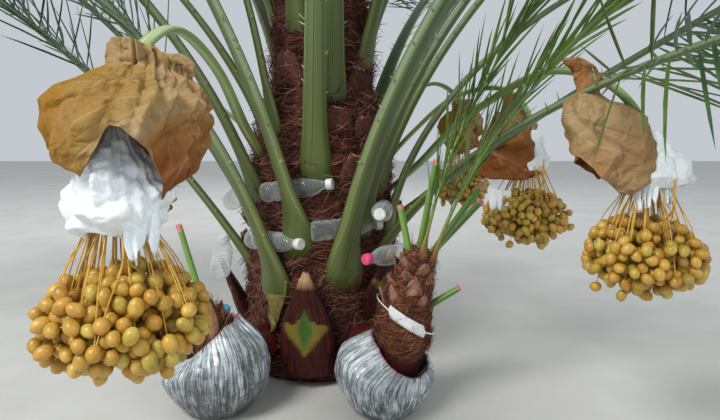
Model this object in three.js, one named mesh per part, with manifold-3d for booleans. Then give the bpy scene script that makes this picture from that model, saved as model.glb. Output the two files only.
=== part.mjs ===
// A young fruiting date palm: trunk, fronds, fruit bunches in paper covers, and two rooted offshoots.
// Millimetres, +Z up. The origin is the middle of the flat cut under the trunk, at ground level.
// +Y points away from the side that the photograph shows, and +X to its right.
import * as THREE from "three";
import { mergeVertices } from "three/addons/utils/BufferGeometryUtils.js";
import Module from "manifold-3d";

const wasm = await Module();
wasm.setup();

// Driving dimensions
const clearGap = 0.35; // free space between pieces that meet
const trunkHeight = 1640; // ground to the crown heart
const trunkSides = 18;
const trunkRows = 14;
const trunkProfile = [[0, 262], [60, 258], [150, 246], [340, 232], [640, 216], [780, 190], [890, 154],
  [1240, 132], [1500, 104], [trunkHeight, 74]]; // height, radius
const frondLength = 2600;
const frondWidth = 92; // of the stalk where it leaves the trunk
const frondDepth = 0.46; // of the width
const bladeStart = 0.34; // share of the frond's length that is bare stalk
const bladeSteps = 13; // pairs of leaflet sprays on a frond
const leafletLength = 420; // of one spray, which stands for the several leaflets of its step
const sprayOpening = [62, 34]; // angle between a spray and the rib, at the blade's foot and at its tip
const sprayRises = [34, 4, 18, -10]; // how far sprays stand up from level, in turn
const goldenAngle = 137.508;
const dateCount = 10; // fruits that stand out of each bunch
const dateRadius = 32;
const strandCount = 5;
const coreShare = 0.86; // how far the fruit mass's core reaches into its outer size
const stalkWidths = [[0, 44], [0.4, 30], [1, 30]]; // share of the way, size
const stalkDepths = [[0, 20], [0.4, 16], [1, 22]];

// A frond's rib: the stations of its bare stalk, and its width and depth along the whole length as shares of
// those at the trunk. Its base faces straight out and reaches the frond's own heading at turnShare.
const stalkStations = [0, 0.02, 0.045, 0.08, 0.14, 0.22, 0.28];
const ribWidths = [[-0.05, 1.15], [0, 1], [0.04, 0.74], [0.12, 0.62], [0.34, 0.42], [0.7, 0.26], [1, 0.09]];
const ribDepths = [[-0.05, 1.3], [0, 1], [0.04, 0.8], [0.12, 0.68], [0.34, 0.52], [0.7, 0.34], [1, 0.15]];
const turnShare = 0.06;
const pathSteps = 80;

// Fronds that the photograph shows: where each leaves the trunk (at, height), which way it goes (heading),
// how far that direction swings by the tip (swing), its angle from upright at the base and at the tip (lean,
// tipLean), how soon it bends, and its width.
const seenFronds = [
  { at: -121, height: 270, heading: -160, lean: 12, tipLean: 92, bend: 0.9, width: 110 },
  { at: -104, height: 420, heading: -165, lean: 12, tipLean: 62, bend: 1, width: 108 },
  { at: -71, height: 330, heading: -30, lean: 10, tipLean: 90, bend: 1, width: 118 },
  { at: -91, height: 640, heading: -80, lean: 5, tipLean: 80, bend: 1.3, width: 100 },
  { at: -74, height: 850, heading: -85, lean: 6, tipLean: 70, bend: 1.3, width: 84 },
  { at: -29, height: 950, heading: -20, lean: 13, tipLean: 70, bend: 1.3, width: 80 },
  { at: -114, height: 1050, heading: -110, lean: 5, tipLean: 70, bend: 1.3, width: 76 },
  { at: -150, height: 560, heading: -168, lean: 18, tipLean: 105, bend: 1, width: 92 },
  { at: -168, height: 470, heading: -170, lean: 24, tipLean: 100, bend: 1, width: 60 },
  { at: -54, height: 448, heading: -25, lean: 12, tipLean: 110, bend: 1, width: 60 },
  { at: -38, height: 570, heading: -15, lean: 18, tipLean: 110, bend: 1, width: 64 },
  { at: -23, height: 404, heading: -15, lean: 3, tipLean: 130, bend: 0.75, width: 62 },
  { at: -38, height: 372, heading: -50, swing: -30, lean: 36, tipLean: 115, bend: 0.7, width: 52 },
  { at: 195, height: 330, heading: -165, lean: 32, tipLean: 100, bend: 1.3, width: 70 },
  { at: 188, height: 780, heading: 185, lean: 24, tipLean: 100, bend: 0.9, width: 72 },
  { at: -130, height: 740, heading: -175, lean: 8, tipLean: 80, bend: 1.3, width: 66 },
  { at: -6, height: 455, heading: -42, lean: 54, tipLean: 83, bend: 1.2, width: 56 },
];

// Fronds on the far side and above the photograph's edge, by the golden angle. One that would meet another
// limb is left out, and so is one that would stand in the picture's own part of the trunk.
const hiddenFronds = { count: 13, firstHeight: 360, heightStep: 26, firstAt: 40, seenFrom: -200, seenTo: 6,
  seenHeight: 1130, steps: 9 };

// Young fronds in the heart, fused round the spear
const heart = { count: 5, length: 1500, lean: 9, tipLean: 44, width: 40, leaflet: 300, steps: 6, spear: 2500 };

// Cut leaf bases that stand pointed against the trunk
const boots = {
  boot_front: { at: -96, height: 40, lean: 3, width: 214, depth: 84, length: 300 },
  boot_right: { at: -46, height: 215, lean: 20, width: 120, depth: 50, length: 190 },
  boot_left: { at: -172, height: 150, lean: 24, width: 92, depth: 50, length: 200 },
};

// Fruit bunches: the stalk's way from the trunk to the point where the fruit strands begin, the size of the
// fruit mass and its middle's distance below that point, and the paper cover and white fleece round the stalk.
const bunches = [
  { way: [[-170, -84, 640], [-212, -190, 750], [-228, -400, 880], [-244, -650, 950], [-230, -880, 900],
    [-226, -1010, 800], [-226, -1040, 700], [-226, -1040, 608]], fruit: [276, 250, 219], drop: 134,
  cover: { middle: [-210, -1036, 742], size: [262, 196, 250] }, fleece: [180, 150, 128] },
  { way: [[170, 30, 500], [268, 0, 590], [322, -76, 650], [366, -230, 722], [428, -420, 800], [545, -602, 868],
    [640, -690, 826], [704, -724, 720], [704, -724, 628]], fruit: [262, 240, 173], drop: 141,
  cover: { middle: [636, -712, 694], size: [190, 156, 196] }, fleece: [146, 120, 110] },
  { way: [[150, 110, 560], [300, 70, 735], [430, 0, 850], [560, -130, 866], [618, -190, 790],
    [624, -194, 720], [624, -194, 632]], fruit: [268, 240, 169], drop: 142,
  cover: { middle: [574, -160, 742], size: [196, 146, 200] }, fleece: [150, 110, 112] },
  { way: [[110, 150, 650], [260, 260, 840], [420, 400, 930], [530, 500, 870], [548, 520, 740],
    [548, 520, 650]], fruit: [256, 236, 190], drop: 124,
  cover: { middle: [548, 518, 765], size: [200, 170, 230] } },
  { way: [[-160, 120, 620], [-330, 210, 790], [-560, 330, 900], [-720, 410, 850], [-746, 424, 730],
    [-746, 424, 640]], fruit: [256, 236, 190], drop: 126,
  cover: { middle: [-742, 422, 772], size: [210, 180, 220] } },
];

// Rooted offshoots: each stem leaves the trunk's foot and rises out of a wrapped ball of rooting moss that
// lies on the ground. Its cut stalks run from first to last point; its leaves start on the stem.
const offshoots = {
  right: { stem: [[120, -190, 110], [190, -390, 92], [228, -432, 170], [246, -438, 300], [284, -436, 440]],
    widths: [[0, 110], [0.45, 132], [0.72, 116], [1, 74]],
    stubs: [[[262, -446, 380], [226, -440, 554]], [[276, -420, 410], [321, -414, 668]],
      [[290, -440, 400], [433, -440, 607]], [[280, -416, 390], [444, -392, 560]],
      [[262, -436, 262], [384, -436, 338]]],
    ball: { middle: [192, -424, 112], size: [262, 250, 226], seed: 11 },
    leaves: [{ base: [284, -470, 424], at: -80, heading: -4, lean: 10, tipLean: 66, bend: 1.2, length: 1150 },
      { base: [313, -460, 424], at: -30, heading: -23, lean: 17, tipLean: 68, bend: 1, length: 1050 }] },
  left: { stem: [[-150, -170, 110], [-236, -370, 110], [-262, -436, 210], [-296, -448, 360], [-334, -450, 505]],
    widths: [[0, 110], [0.4, 120], [0.62, 96], [0.75, 40], [1, 24]],
    stubs: [],
    ball: { middle: [-258, -424, 127], size: [282, 264, 256], seed: 29 },
    leaves: [] },
};
const stubWidth = 24;
const youngLeaf = { width: 24, leaflet: 250, steps: 10 };

const colours = { bark: 0x4a2318, frond: 0x5f7f3a, boot: 0x7b3f26, stalk: 0xa9ad4e, fruit: 0xd39a2c,
  paper: 0xc08a45, fleece: 0xe9eef2, wrap: 0x9aa0a3, fibre: 0x7a4526 };

// Small helpers
const radians = THREE.MathUtils.degToRad;
const mix = THREE.MathUtils.lerp;
const vector = (x, y, z) => new THREE.Vector3(x, y, z);

function seeded(seed) {
  let state = seed;
  return () => {
    state = (state + 0x6d2b79f5) | 0;
    let t = Math.imul(state ^ (state >>> 15), 1 | state);
    t = (t + Math.imul(t ^ (t >>> 7), 61 | t)) ^ t;
    return ((t ^ (t >>> 14)) >>> 0) / 4294967296;
  };
}

// Straight-line reading of a list of [place, value] pairs
function along(pairs, place) {
  const next = pairs.findIndex((pair) => pair[0] >= place);
  if (next === 0) return pairs[0][1];
  if (next < 0) return pairs.at(-1)[1];
  const [a, b] = [pairs[next - 1], pairs[next]];
  return mix(a[1], b[1], (place - a[0]) / (b[0] - a[0]));
}

// A closed skin over rings of points that run round the path's direction of travel.
// tipOf(step, side) may give a point, and that face then rises to it as a pointed blade.
function skin(rings, tipOf = () => null) {
  const sides = rings[0].length;
  const points = rings.flat();
  const faces = [];
  for (let step = 0; step < rings.length - 1; step++) {
    for (let side = 0; side < sides; side++) {
      const next = (side + 1) % sides;
      const [a, b] = [step * sides + side, step * sides + next];
      const [c, d] = [b + sides, a + sides];
      const tip = tipOf(step, side);
      if (tip) {
        const t = points.push(tip) - 1;
        faces.push(a, b, t, b, c, t, c, d, t, d, a, t);
      } else faces.push(a, b, c, a, c, d);
    }
  }
  const last = (rings.length - 1) * sides;
  for (let side = 1; side < sides - 1; side++) {
    faces.push(0, side + 1, side, last, last + side, last + side + 1);
  }
  const geometry = new THREE.BufferGeometry().setFromPoints(points);
  geometry.setIndex(faces);
  return geometry;
}

// Geometry to a solid that can be joined or cut, and back
function solid(geometry) {
  const bare = geometry.clone();
  bare.deleteAttribute("normal");
  bare.deleteAttribute("uv");
  const merged = mergeVertices(bare, 1e-3);
  return new wasm.Manifold(new wasm.Mesh({ numProp: 3, vertProperties: merged.getAttribute("position").array,
    triVerts: new Uint32Array(merged.index.array) }));
}

function geometryOf(made) {
  const mesh = made.getMesh();
  const geometry = new THREE.BufferGeometry();
  geometry.setAttribute("position", new THREE.BufferAttribute(new Float32Array(mesh.vertProperties), 3));
  geometry.setIndex(new THREE.BufferAttribute(new Uint32Array(mesh.triVerts), 1));
  geometry.computeVertexNormals();
  return geometry;
}

// The one body that matters when a cut leaves crumbs
function largest(made) {
  return made.decompose().reduce((best, part) => (part.volume() > best.volume() ? part : best));
}

const shapes = new Map(); // node name to its solid and colour
const keep = (name, made, colour) => shapes.set(name, { made: largest(made), colour });

// The trunk narrows at the crown and flares at the ground, with shallow ridges of old leaf bases.
function trunkRadius(height, angle) {
  const ridge = Math.sin(5 * angle + height / 70) * Math.sin(height / 48 + 2 * angle);
  return along(trunkProfile, height) + 5 * ridge;
}

function trunkSolid(grow) {
  const rings = [];
  for (let row = 0; row <= trunkRows; row++) {
    const height = (trunkHeight * row) / trunkRows;
    rings.push(Array.from({ length: trunkSides }, (_, side) => {
      const angle = (2 * Math.PI * side) / trunkSides;
      const radius = trunkRadius(height, angle) + grow;
      return vector(radius * Math.cos(angle), radius * Math.sin(angle), height);
    }));
  }
  if (grow > 0) rings.push(rings.at(-1).map((p) => p.clone().setZ(trunkHeight + grow)));
  return solid(skin(rings));
}

const trunkRoom = trunkSolid(clearGap);

// A path with its own frame: along (the way it grows), side (level) and up (the face towards the crown)
function frameAt(point, lean, heading) {
  const [l, h] = [radians(lean), radians(heading)];
  return { point,
    along: vector(Math.sin(l) * Math.cos(h), Math.sin(l) * Math.sin(h), Math.cos(l)),
    side: vector(-Math.sin(h), Math.cos(h), 0),
    up: vector(-Math.cos(l) * Math.cos(h), -Math.cos(l) * Math.sin(h), Math.sin(l)) };
}

// Which way the frond goes at this share of its length
function headingAt(f, share) {
  const turn = ((f.heading - f.at + 540) % 360) - 180;
  return f.at + turn * Math.min(1, share / turnShare) + (f.swing ?? 0) * share;
}

// Places for a frond's stations: a heel inside what it stands on, then the rib from base to tip
function frondFrames(f, stations) {
  const at = radians(f.at);
  const out = vector(Math.cos(at), Math.sin(at), 0);
  const base = f.base ? vector(...f.base)
    : out.clone().multiplyScalar(trunkRadius(f.height, at) + f.depth * 0.2).setZ(f.height);
  const heel = base.clone().addScaledVector(out, -f.depth * 1.1).add(vector(0, 0, -f.depth * 1.6));
  const frames = [{ ...frameAt(heel, 35, f.at), share: -0.05 }];
  const point = base.clone();
  let done = 0;
  for (const share of stations) {
    for (; done < share * pathSteps - 1e-6; done++) {
      const s = (done + 0.5) / pathSteps;
      point.addScaledVector(frameAt(point, mix(f.lean, f.tipLean, s ** f.bend), headingAt(f, s)).along,
        f.length / pathSteps);
    }
    const lean = mix(f.lean, f.tipLean, share ** f.bend);
    frames.push({ ...frameAt(point.clone(), lean, headingAt(f, share)), share });
  }
  return frames;
}

// Rib section: a flat inner face and a narrower outer one
function ribRing(frame, width, depth) {
  const corner = (s, u) => frame.point.clone().addScaledVector(frame.side, s * width)
    .addScaledVector(frame.up, u * depth);
  return [corner(0.34, -0.55), corner(0.5, 0.45), corner(-0.5, 0.45), corner(-0.34, -0.55)];
}

// One frond: its frames, its rings and the bare rib. The leaflet sprays are put on later.
function frond(name, f) {
  const full = { width: frondWidth, length: frondLength, leaflet: leafletLength, steps: bladeSteps, ...f };
  full.depth = full.width * frondDepth;
  const blade = Array.from({ length: full.steps + 1 }, (_, i) => mix(bladeStart, 1, i / full.steps));
  const frames = frondFrames(full, stalkStations.concat(blade));
  const rings = frames.map((frame) => ribRing(frame, full.width * along(ribWidths, frame.share),
    full.depth * along(ribDepths, frame.share)));
  return { name, frames, rings, leaflet: full.leaflet, rib: solid(skin(rings)) };
}

// Where the spray of leaflets on one side of one step points: forward and out, by turns up or level
function sprayTip(made, step, hand) {
  const frame = made.frames[step];
  const share = (frame.share - bladeStart) / (1 - bladeStart);
  const reach = made.leaflet * (0.42 + 0.58 * Math.sin(Math.PI * Math.min(1, share + 0.12) ** 0.8));
  const open = radians(mix(...sprayOpening, share));
  const rise = radians(sprayRises[(step + (hand > 0 ? 0 : 1)) % sprayRises.length]);
  const root = made.rings[step].concat(made.rings[step + 1])
    .reduce((sum, p) => sum.add(p), vector(0, 0, 0)).divideScalar(8);
  return root.addScaledVector(frame.along, Math.cos(open) * reach)
    .addScaledVector(frame.side, Math.sin(open) * Math.cos(rise) * hand * reach)
    .addScaledVector(frame.up, Math.sin(open) * Math.sin(rise) * reach);
}

function spray(made, step, side) {
  const next = (side + 1) % 4;
  const root = [made.rings[step][side], made.rings[step][next], made.rings[step + 1][next],
    made.rings[step + 1][side]];
  const tip = sprayTip(made, step, side === 0 ? 1 : -1);
  const ringAt = (share) => root.map((p) => p.clone().lerp(tip, share));
  return { tip, blade: solid(skin([ringAt(0.04), ringAt(0.999)])) };
}

function boxed(made, name) {
  const box = made.boundingBox();
  return { name, made, box: new THREE.Box3(vector(...box.min), vector(...box.max)) };
}

function touching(made, other, reach = 1) {
  return boxed(made).box.expandByScalar(2 * reach).intersectsBox(other.box)
    && made.minGap(other.made, 2 * reach) < reach;
}

// Keeps each spray only where it clears every other limb and every spray already kept
function dressed(made, taken) {
  const tips = new Map();
  const kept = [];
  const first = made.frames.findIndex((frame) => frame.share >= bladeStart - 1e-6);
  for (let step = first; step < made.frames.length - 1; step++) {
    for (const side of [0, 2]) {
      const { tip, blade } = spray(made, step, side);
      if (tip.z < 60 || taken.some((other) => other.name !== made.name && touching(blade, other))) continue;
      tips.set(step * 4 + side, tip);
      kept.push(boxed(blade, made.name));
    }
  }
  taken.push(...kept);
  return solid(skin(made.rings, (step, side) => tips.get(step * 4 + side) ?? null));
}

// A tube of changing width and depth along a smooth curve, for stalks and stems
function tube(points, sizes, sides, steps, grow = 0) {
  const curve = new THREE.CatmullRomCurve3(points.map((p) => vector(...p)), false, "centripetal");
  const rings = [];
  for (let i = 0; i <= steps; i++) {
    const share = i / steps;
    const forward = curve.getTangentAt(share);
    const side = vector(0, 0, 1).cross(forward);
    if (side.length() < 0.05) side.set(1, 0, 0);
    side.normalize();
    const up = forward.clone().cross(side);
    const centre = curve.getPointAt(share);
    if (grow > 0 && (i === 0 || i === steps)) centre.addScaledVector(forward, i === 0 ? -grow : grow);
    const [width, depth] = sizes.map((size) => along(size, share) / 2 + grow);
    rings.push(Array.from({ length: sides }, (_, k) => {
      const turn = (2 * Math.PI * k) / sides;
      return centre.clone().addScaledVector(side, width * Math.cos(turn))
        .addScaledVector(up, depth * Math.sin(turn));
    }));
  }
  return solid(skin(rings));
}

// A crumpled rounded form of the given size: paper cover, fleece or wrapped ball
function crumpled(middle, size, pinch, seed, sides, rows, grow = 0) {
  const random = seeded(seed);
  const folds = Array.from({ length: 5 }, () => [2 + Math.floor(random() * 4), random() * 6.3, random() * 6.3]);
  const rings = [];
  for (let row = 0; row <= rows; row++) {
    const height = row / rows;
    const round = Math.max(0.2, Math.sin(Math.PI * mix(0.09, 0.97, height)) ** 0.6);
    const body = round * mix(1, pinch, height ** 1.6);
    const lift = row === 0 ? -grow : row === rows ? grow : 0;
    rings.push(Array.from({ length: sides }, (_, k) => {
      const turn = (2 * Math.PI * k) / sides;
      const fold = folds.reduce((sum, [n, a, b]) => sum
        + Math.sin(n * turn + a + 4 * height) * Math.cos(3 * height + b), 0);
      const radius = body * (1 + 0.045 * fold);
      return vector(middle[0] + ((size[0] / 2) * radius + grow) * Math.cos(turn),
        middle[1] + ((size[1] / 2) * radius + grow) * Math.sin(turn),
        middle[2] + size[2] * (height - 0.5) + lift);
    }));
  }
  return solid(skin(rings));
}

// What lies below the ground, to cut flat what rests on it
function underground() {
  const corners = [[-900, -900], [900, -900], [900, 900], [-900, 900]];
  return solid(skin([-400, 0].map((z) => corners.map(([x, y]) => vector(x, y, z)))));
}

// A cut leaf base: broad at the foot, narrowing to a point
function makeBoot(name, b, offshootRooms) {
  const frames = frondFrames({ ...b, heading: b.at, tipLean: b.lean, bend: 1 }, [0, 0.3, 0.6, 0.82, 1]);
  const taper = [[-0.05, 0.9], [0, 1], [0.3, 0.92], [0.6, 0.6], [0.82, 0.3], [1, 0.08]];
  const rings = frames.map((frame) => ribRing(frame, b.width * along(taper, frame.share),
    b.depth * mix(1, 0.2, Math.max(0, frame.share))));
  const made = Object.values(offshootRooms).reduce((rest, room) => rest.subtract(room), solid(skin(rings)));
  keep(name, made.subtract(trunkRoom).subtract(underground()), colours.boot);
}

// One offshoot: stem with its cut stalks, and the wrapped ball. Returns the stem with free space round it.
function makeOffshoot(side, o) {
  const body = (grow) => o.stubs.reduce((made, ends) => made.add(tube(ends,
    [[[0, stubWidth], [1, stubWidth]], [[0, stubWidth * 0.7], [1, stubWidth * 0.6]]], 6, 2, grow)),
  tube(o.stem, [o.widths, o.widths], 10, 12, grow));
  const room = body(clearGap).add(body(0));
  keep(`offshoot_${side}_stem`, body(0).subtract(trunkRoom), colours.fibre);
  keep(`offshoot_${side}_root_ball`, crumpled(o.ball.middle, o.ball.size, 0.9, o.ball.seed, 12, 6)
    .subtract(room).subtract(trunkRoom).subtract(underground()), colours.wrap);
  return room;
}

// The fruit mass: a core, fruits standing out of it by the golden angle, and strands up to the stalk
function fruitMass(foot, size, drop, seed) {
  const random = seeded(seed);
  const [wide, deep, tall] = size.map((length) => length / 2 - dateRadius * 0.7);
  const middle = foot.clone().add(vector(0, 0, -drop));
  const core = new THREE.IcosahedronGeometry(1, 1)
    .scale(wide * coreShare, deep * coreShare, tall * coreShare).translate(...middle.toArray());
  let made = solid(core);
  for (let i = 0; i < dateCount; i++) {
    const level = 1 - (2 * (i + 0.5)) / dateCount;
    const turn = radians(goldenAngle * i);
    const ring = Math.sqrt(1 - level * level);
    const place = vector(ring * Math.cos(turn) * wide, ring * Math.sin(turn) * deep, level * tall).add(middle);
    made = made.add(solid(new THREE.IcosahedronGeometry(dateRadius, 0).scale(0.92, 0.92, 1.1)
      .rotateX(random() * 3).rotateZ(random() * 3).translate(...place.toArray())));
  }
  for (let i = 0; i < strandCount; i++) made = made.add(strand(foot, middle, [wide, deep, tall], i, random()));
  return made;
}

function strand(foot, middle, [wide, deep, tall], i, chance) {
  const turn = radians(goldenAngle * i);
  const spread = i === 0 ? 0 : 0.34 + 0.3 * chance;
  const end = vector(Math.cos(turn) * wide * spread, Math.sin(turn) * deep * spread, tall * 0.4).add(middle);
  const top = vector(Math.cos(turn), Math.sin(turn), 0).multiplyScalar(i === 0 ? 0 : 14).add(foot);
  const ring = (centre, size) => [0, 1, 2, 3].map((k) => centre.clone()
    .add(vector(size * Math.cos(Math.PI * (k / 2 + 0.25)), size * Math.sin(Math.PI * (k / 2 + 0.25)), 0)));
  return solid(skin([ring(end, 5), ring(top, i === 0 ? 21 : 6)]));
}

// The space that a cover leaves free for the fruit mass and its fan of strands
function fruitSpace(foot, size, drop) {
  const middle = foot.clone().add(vector(0, 0, -drop));
  const mass = new THREE.IcosahedronGeometry(1, 1).scale(...size.map((length) => length / 2 + dateRadius / 2))
    .translate(...middle.toArray());
  const ring = (centre, share) => Array.from({ length: 8 }, (_, k) => centre.clone().add(vector(
    size[0] * share * Math.cos((Math.PI * k) / 4), size[1] * share * Math.sin((Math.PI * k) / 4), 0)));
  return solid(mass).add(solid(skin([ring(middle, 0.4), ring(foot, 0.12)])));
}

// One bunch: stalk, fruit mass, and the fleece and paper cover with the stalk passing through them
function makeBunch(b, number) {
  const foot = vector(...b.way.at(-1));
  const stalk = tube(b.way, [stalkWidths, stalkDepths], 6, 13);
  const room = tube(b.way, [stalkWidths, stalkDepths], 6, 13, clearGap).add(stalk);
  keep(`stalk_${number}`, stalk.subtract(trunkRoom), colours.stalk);
  keep(`bunch_${number}`, fruitMass(foot, b.fruit, b.drop, 500 + number).subtract(room), colours.fruit);
  let paper = crumpled(b.cover.middle, b.cover.size, 0.62, 40 + number, 12, 6);
  if (b.fleece) {
    const middle = [foot.x, foot.y, foot.z + b.fleece[2] / 2 + 2 * clearGap];
    const fleece = (grow) => crumpled(middle, b.fleece, 0.5, 70 + number, 10, 5, grow);
    paper = paper.subtract(fleece(clearGap));
    keep(`fleece_${number}`, fleece(0).subtract(room), colours.fleece);
  }
  keep(`cover_${number}`, paper.subtract(room).subtract(fruitSpace(foot, b.fruit, b.drop)), colours.paper);
}

// The hidden fronds climb the trunk by the golden angle until there are enough that clear every limb.
function addHiddenFronds(fronds, limbs) {
  const h = hiddenFronds;
  for (let k = 0, found = 0; found < h.count && k < 60; k++) {
    const height = h.firstHeight + h.heightStep * k;
    const at = ((h.firstAt + goldenAngle * k - h.seenFrom) % 360) + h.seenFrom;
    if (height > trunkHeight - 110 || (at < h.seenTo && height < h.seenHeight)) continue;
    const rise = (height - h.firstHeight) / (trunkHeight - h.firstHeight);
    const made = frond(`frond_${String(fronds.length + 1).padStart(2, "0")}`, { at, height, heading: at,
      lean: mix(26, 14, rise), tipLean: mix(106, 62, rise), bend: 1, steps: h.steps,
      length: frondLength * mix(1, 0.82, rise) });
    if (limbs.some((limb) => touching(made.rib, limb, 4))) continue;
    limbs.push(boxed(made.rib, made.name));
    fronds.push(made);
    found++;
  }
}

function makeFronds(offshootRooms) {
  const fronds = seenFronds.map((f, i) => frond(`frond_${String(i + 1).padStart(2, "0")}`, f));
  const limbs = [...shapes].filter(([name]) => name !== "trunk").map(([name, s]) => boxed(s.made, name));
  limbs.push(...fronds.map((f) => boxed(f.rib, f.name)));
  addHiddenFronds(fronds, limbs);
  for (const [side, o] of Object.entries(offshoots)) {
    o.leaves.forEach((leaf, i) => {
      const made = frond(`offshoot_${side}_leaf_${i + 1}`, { ...youngLeaf, ...leaf });
      fronds.push({ ...made, cut: offshootRooms[side] });
      limbs.push(boxed(made.rib, made.name));
    });
  }
  const taken = limbs.concat(boxed(shapes.get("trunk").made, "trunk"));
  for (const f of fronds) {
    keep(f.name, dressed(f, taken).subtract(f.cut ?? trunkRoom), colours.frond);
  }
  makeHeart(taken);
}

// The heart: a pointed spear of folded leaves with young fronds fused round its foot
function makeHeart(taken) {
  const foot = trunkHeight + clearGap;
  const taper = [[0, 96], [0.2, 78], [0.5, 40], [1, 8]];
  let made = tube([[0, 0, foot], [0, 0, mix(foot, heart.spear, 0.5)], [0, 0, heart.spear]],
    [taper, taper], 8, 6);
  for (let i = 0; i < heart.count; i++) {
    const at = 20 + goldenAngle * i;
    const young = frond("heart", { base: [30 * Math.cos(radians(at)), 30 * Math.sin(radians(at)), foot + 70],
      at, heading: at, lean: heart.lean, tipLean: heart.tipLean, bend: 1.1, length: heart.length,
      width: heart.width, leaflet: heart.leaflet, steps: heart.steps });
    made = made.add(dressed(young, taken));
  }
  keep("heart", made.subtract(trunkRoom), colours.frond);
}

keep("trunk", trunkSolid(0), colours.bark);
const offshootRooms = {};
for (const [side, o] of Object.entries(offshoots)) offshootRooms[side] = makeOffshoot(side, o);
for (const [name, b] of Object.entries(boots)) makeBoot(name, b, offshootRooms);
bunches.forEach((b, i) => makeBunch(b, i + 1));
makeFronds(offshootRooms);

const palm = new THREE.Group();
palm.name = "date_palm";
for (const [name, { made, colour }] of shapes) {
  const material = new THREE.MeshStandardMaterial({ color: colour, roughness: 0.8 });
  const mesh = new THREE.Mesh(geometryOf(made), material);
  mesh.name = name;
  palm.add(mesh);
}
export default palm;
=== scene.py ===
import math
import random

import bpy
import numpy as np
from mathutils import Matrix, Vector, noise


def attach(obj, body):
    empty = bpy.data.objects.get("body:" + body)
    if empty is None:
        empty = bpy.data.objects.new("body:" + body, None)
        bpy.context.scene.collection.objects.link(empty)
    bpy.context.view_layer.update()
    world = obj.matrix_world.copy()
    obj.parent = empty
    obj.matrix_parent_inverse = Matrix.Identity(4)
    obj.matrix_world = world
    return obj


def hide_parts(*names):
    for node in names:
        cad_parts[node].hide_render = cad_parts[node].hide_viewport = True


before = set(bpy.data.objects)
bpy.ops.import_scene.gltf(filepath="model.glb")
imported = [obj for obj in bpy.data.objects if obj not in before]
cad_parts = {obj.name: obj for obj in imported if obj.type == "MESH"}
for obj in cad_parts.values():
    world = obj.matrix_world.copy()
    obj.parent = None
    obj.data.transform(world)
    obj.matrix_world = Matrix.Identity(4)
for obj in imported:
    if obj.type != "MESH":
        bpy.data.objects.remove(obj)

noise.seed_set(5)  # noise_vector starts from the clock without it

# The date palm's looks, in metres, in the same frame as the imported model: +Z up, the camera looks along +Y.
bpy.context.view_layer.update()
rootBody = "root"
goldenDegrees = 137.508
goldenAngle = math.radians(goldenDegrees)


# Small helpers

def mixed(a, b, share):
    return a + (b - a) * share


# Reads pairs of place and value at many places; a plain number is the same everywhere
def readMany(pairs, places):
    if np.isscalar(pairs):
        return np.full_like(places, pairs)
    return np.interp(places, *zip(*pairs))


def readAlong(pairs, place):
    return float(readMany(pairs, place))


def rough(x, y, z):
    return noise.noise(Vector((x, y, z)))


# A wave of straight slopes between -1 and 1, one for each whole turn
def zigzag(turns):
    return abs((turns % 1) * 4 - 2) - 1


def wrapped(angle):
    return (angle + np.pi) % (2 * np.pi) - np.pi


def wrappedDegrees(angle):
    return (angle + 180) % 360 - 180


# The turns of a ring's corners, each with its cosine and its sine
def ringTurns(sides):
    turns = [2 * math.pi * k / sides for k in range(sides)]
    return [(turn, math.cos(turn), math.sin(turn)) for turn in turns]


def tone(code):
    parts = [int(code[i:i + 2], 16) / 255 for i in (1, 3, 5)]
    return [p / 12.92 if p <= 0.04045 else ((p + 0.055) / 1.055) ** 2.4 for p in parts] + [1]


def linked(name, data):
    thing = bpy.data.objects.new(name, data)
    bpy.context.scene.collection.objects.link(thing)
    return thing


# A mesh object from its shape: points, faces and, where it has one, its UV map by point
def meshObject(name, shape, material=None, smooth=True, values=None):
    points, faces, *uv = shape
    mesh = bpy.data.meshes.new(name)
    mesh.from_pydata([tuple(p) for p in points], [], faces)
    mesh.update()
    mesh.shade_smooth() if smooth else mesh.shade_flat()
    if uv:
        layer = mesh.uv_layers.new(name="UVMap")
        corners = np.zeros(len(mesh.loops), np.int32)
        mesh.loops.foreach_get("vertex_index", corners)
        layer.data.foreach_set("uv", np.asarray(uv[0], np.float32)[corners].ravel())
    for key, numbers in (values or {}).items():
        mesh.attributes.new(key, "FLOAT", "POINT").data.foreach_set("value", np.asarray(numbers, np.float32))
    if material:
        mesh.materials.append(material)
    return linked(name, mesh)


def finished(piece, slotName, *nodes):
    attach(piece, rootBody)
    if nodes:
        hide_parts(*nodes)
    return piece


def newPiece(name, shape, skinKey, slotName, *nodes, **settings):
    return finished(meshObject(name, shape, skins[skinKey], **settings), slotName, *nodes)


# Gives the chosen faces of a piece a second skin
def paintFaces(piece, skinKey, chosen):
    piece.data.materials.append(skins[skinKey])
    for face in piece.data.polygons:
        face.material_index = int(chosen(face))


# Adds one closed shape to a whole of several
def gather(whole, points, faces, *uv):
    start = len(whole[0])
    whole[0].extend(points)
    whole[1].extend(tuple(start + v for v in face) for face in faces)
    for target, source in zip(whole[2:], uv):
        target.extend(source)


# Faces between rings of equal size, wound so that they look out, with flat ends
def ringFaces(rings, sides, closeEnd=True):
    faces = []
    for low in range(0, (rings - 1) * sides, sides):
        for side in range(sides):
            after = (side + 1) % sides
            faces.append((low + side, low + after, low + sides + after, low + sides + side))
    faces.append(tuple(reversed(range(sides))))
    if closeEnd:
        faces.append(tuple(range((rings - 1) * sides, rings * sides)))
    return faces


# Adds a node to a tree; each input takes a value or the socket that feeds it
def addNode(tree, kind, inputs, **settings):
    node = tree.nodes.new(kind)
    for key, value in settings.items():
        setattr(node, key, value)
    for key, value in inputs.items():
        if isinstance(value, bpy.types.NodeSocket):
            tree.links.new(value, node.inputs[key])
        else:
            node.inputs[key].default_value = value
    return node


# Material nodes

mixSockets = {"share": 0, "first": 6, "second": 7, "result": 2}  # the colour sockets of a Mix node


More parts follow.
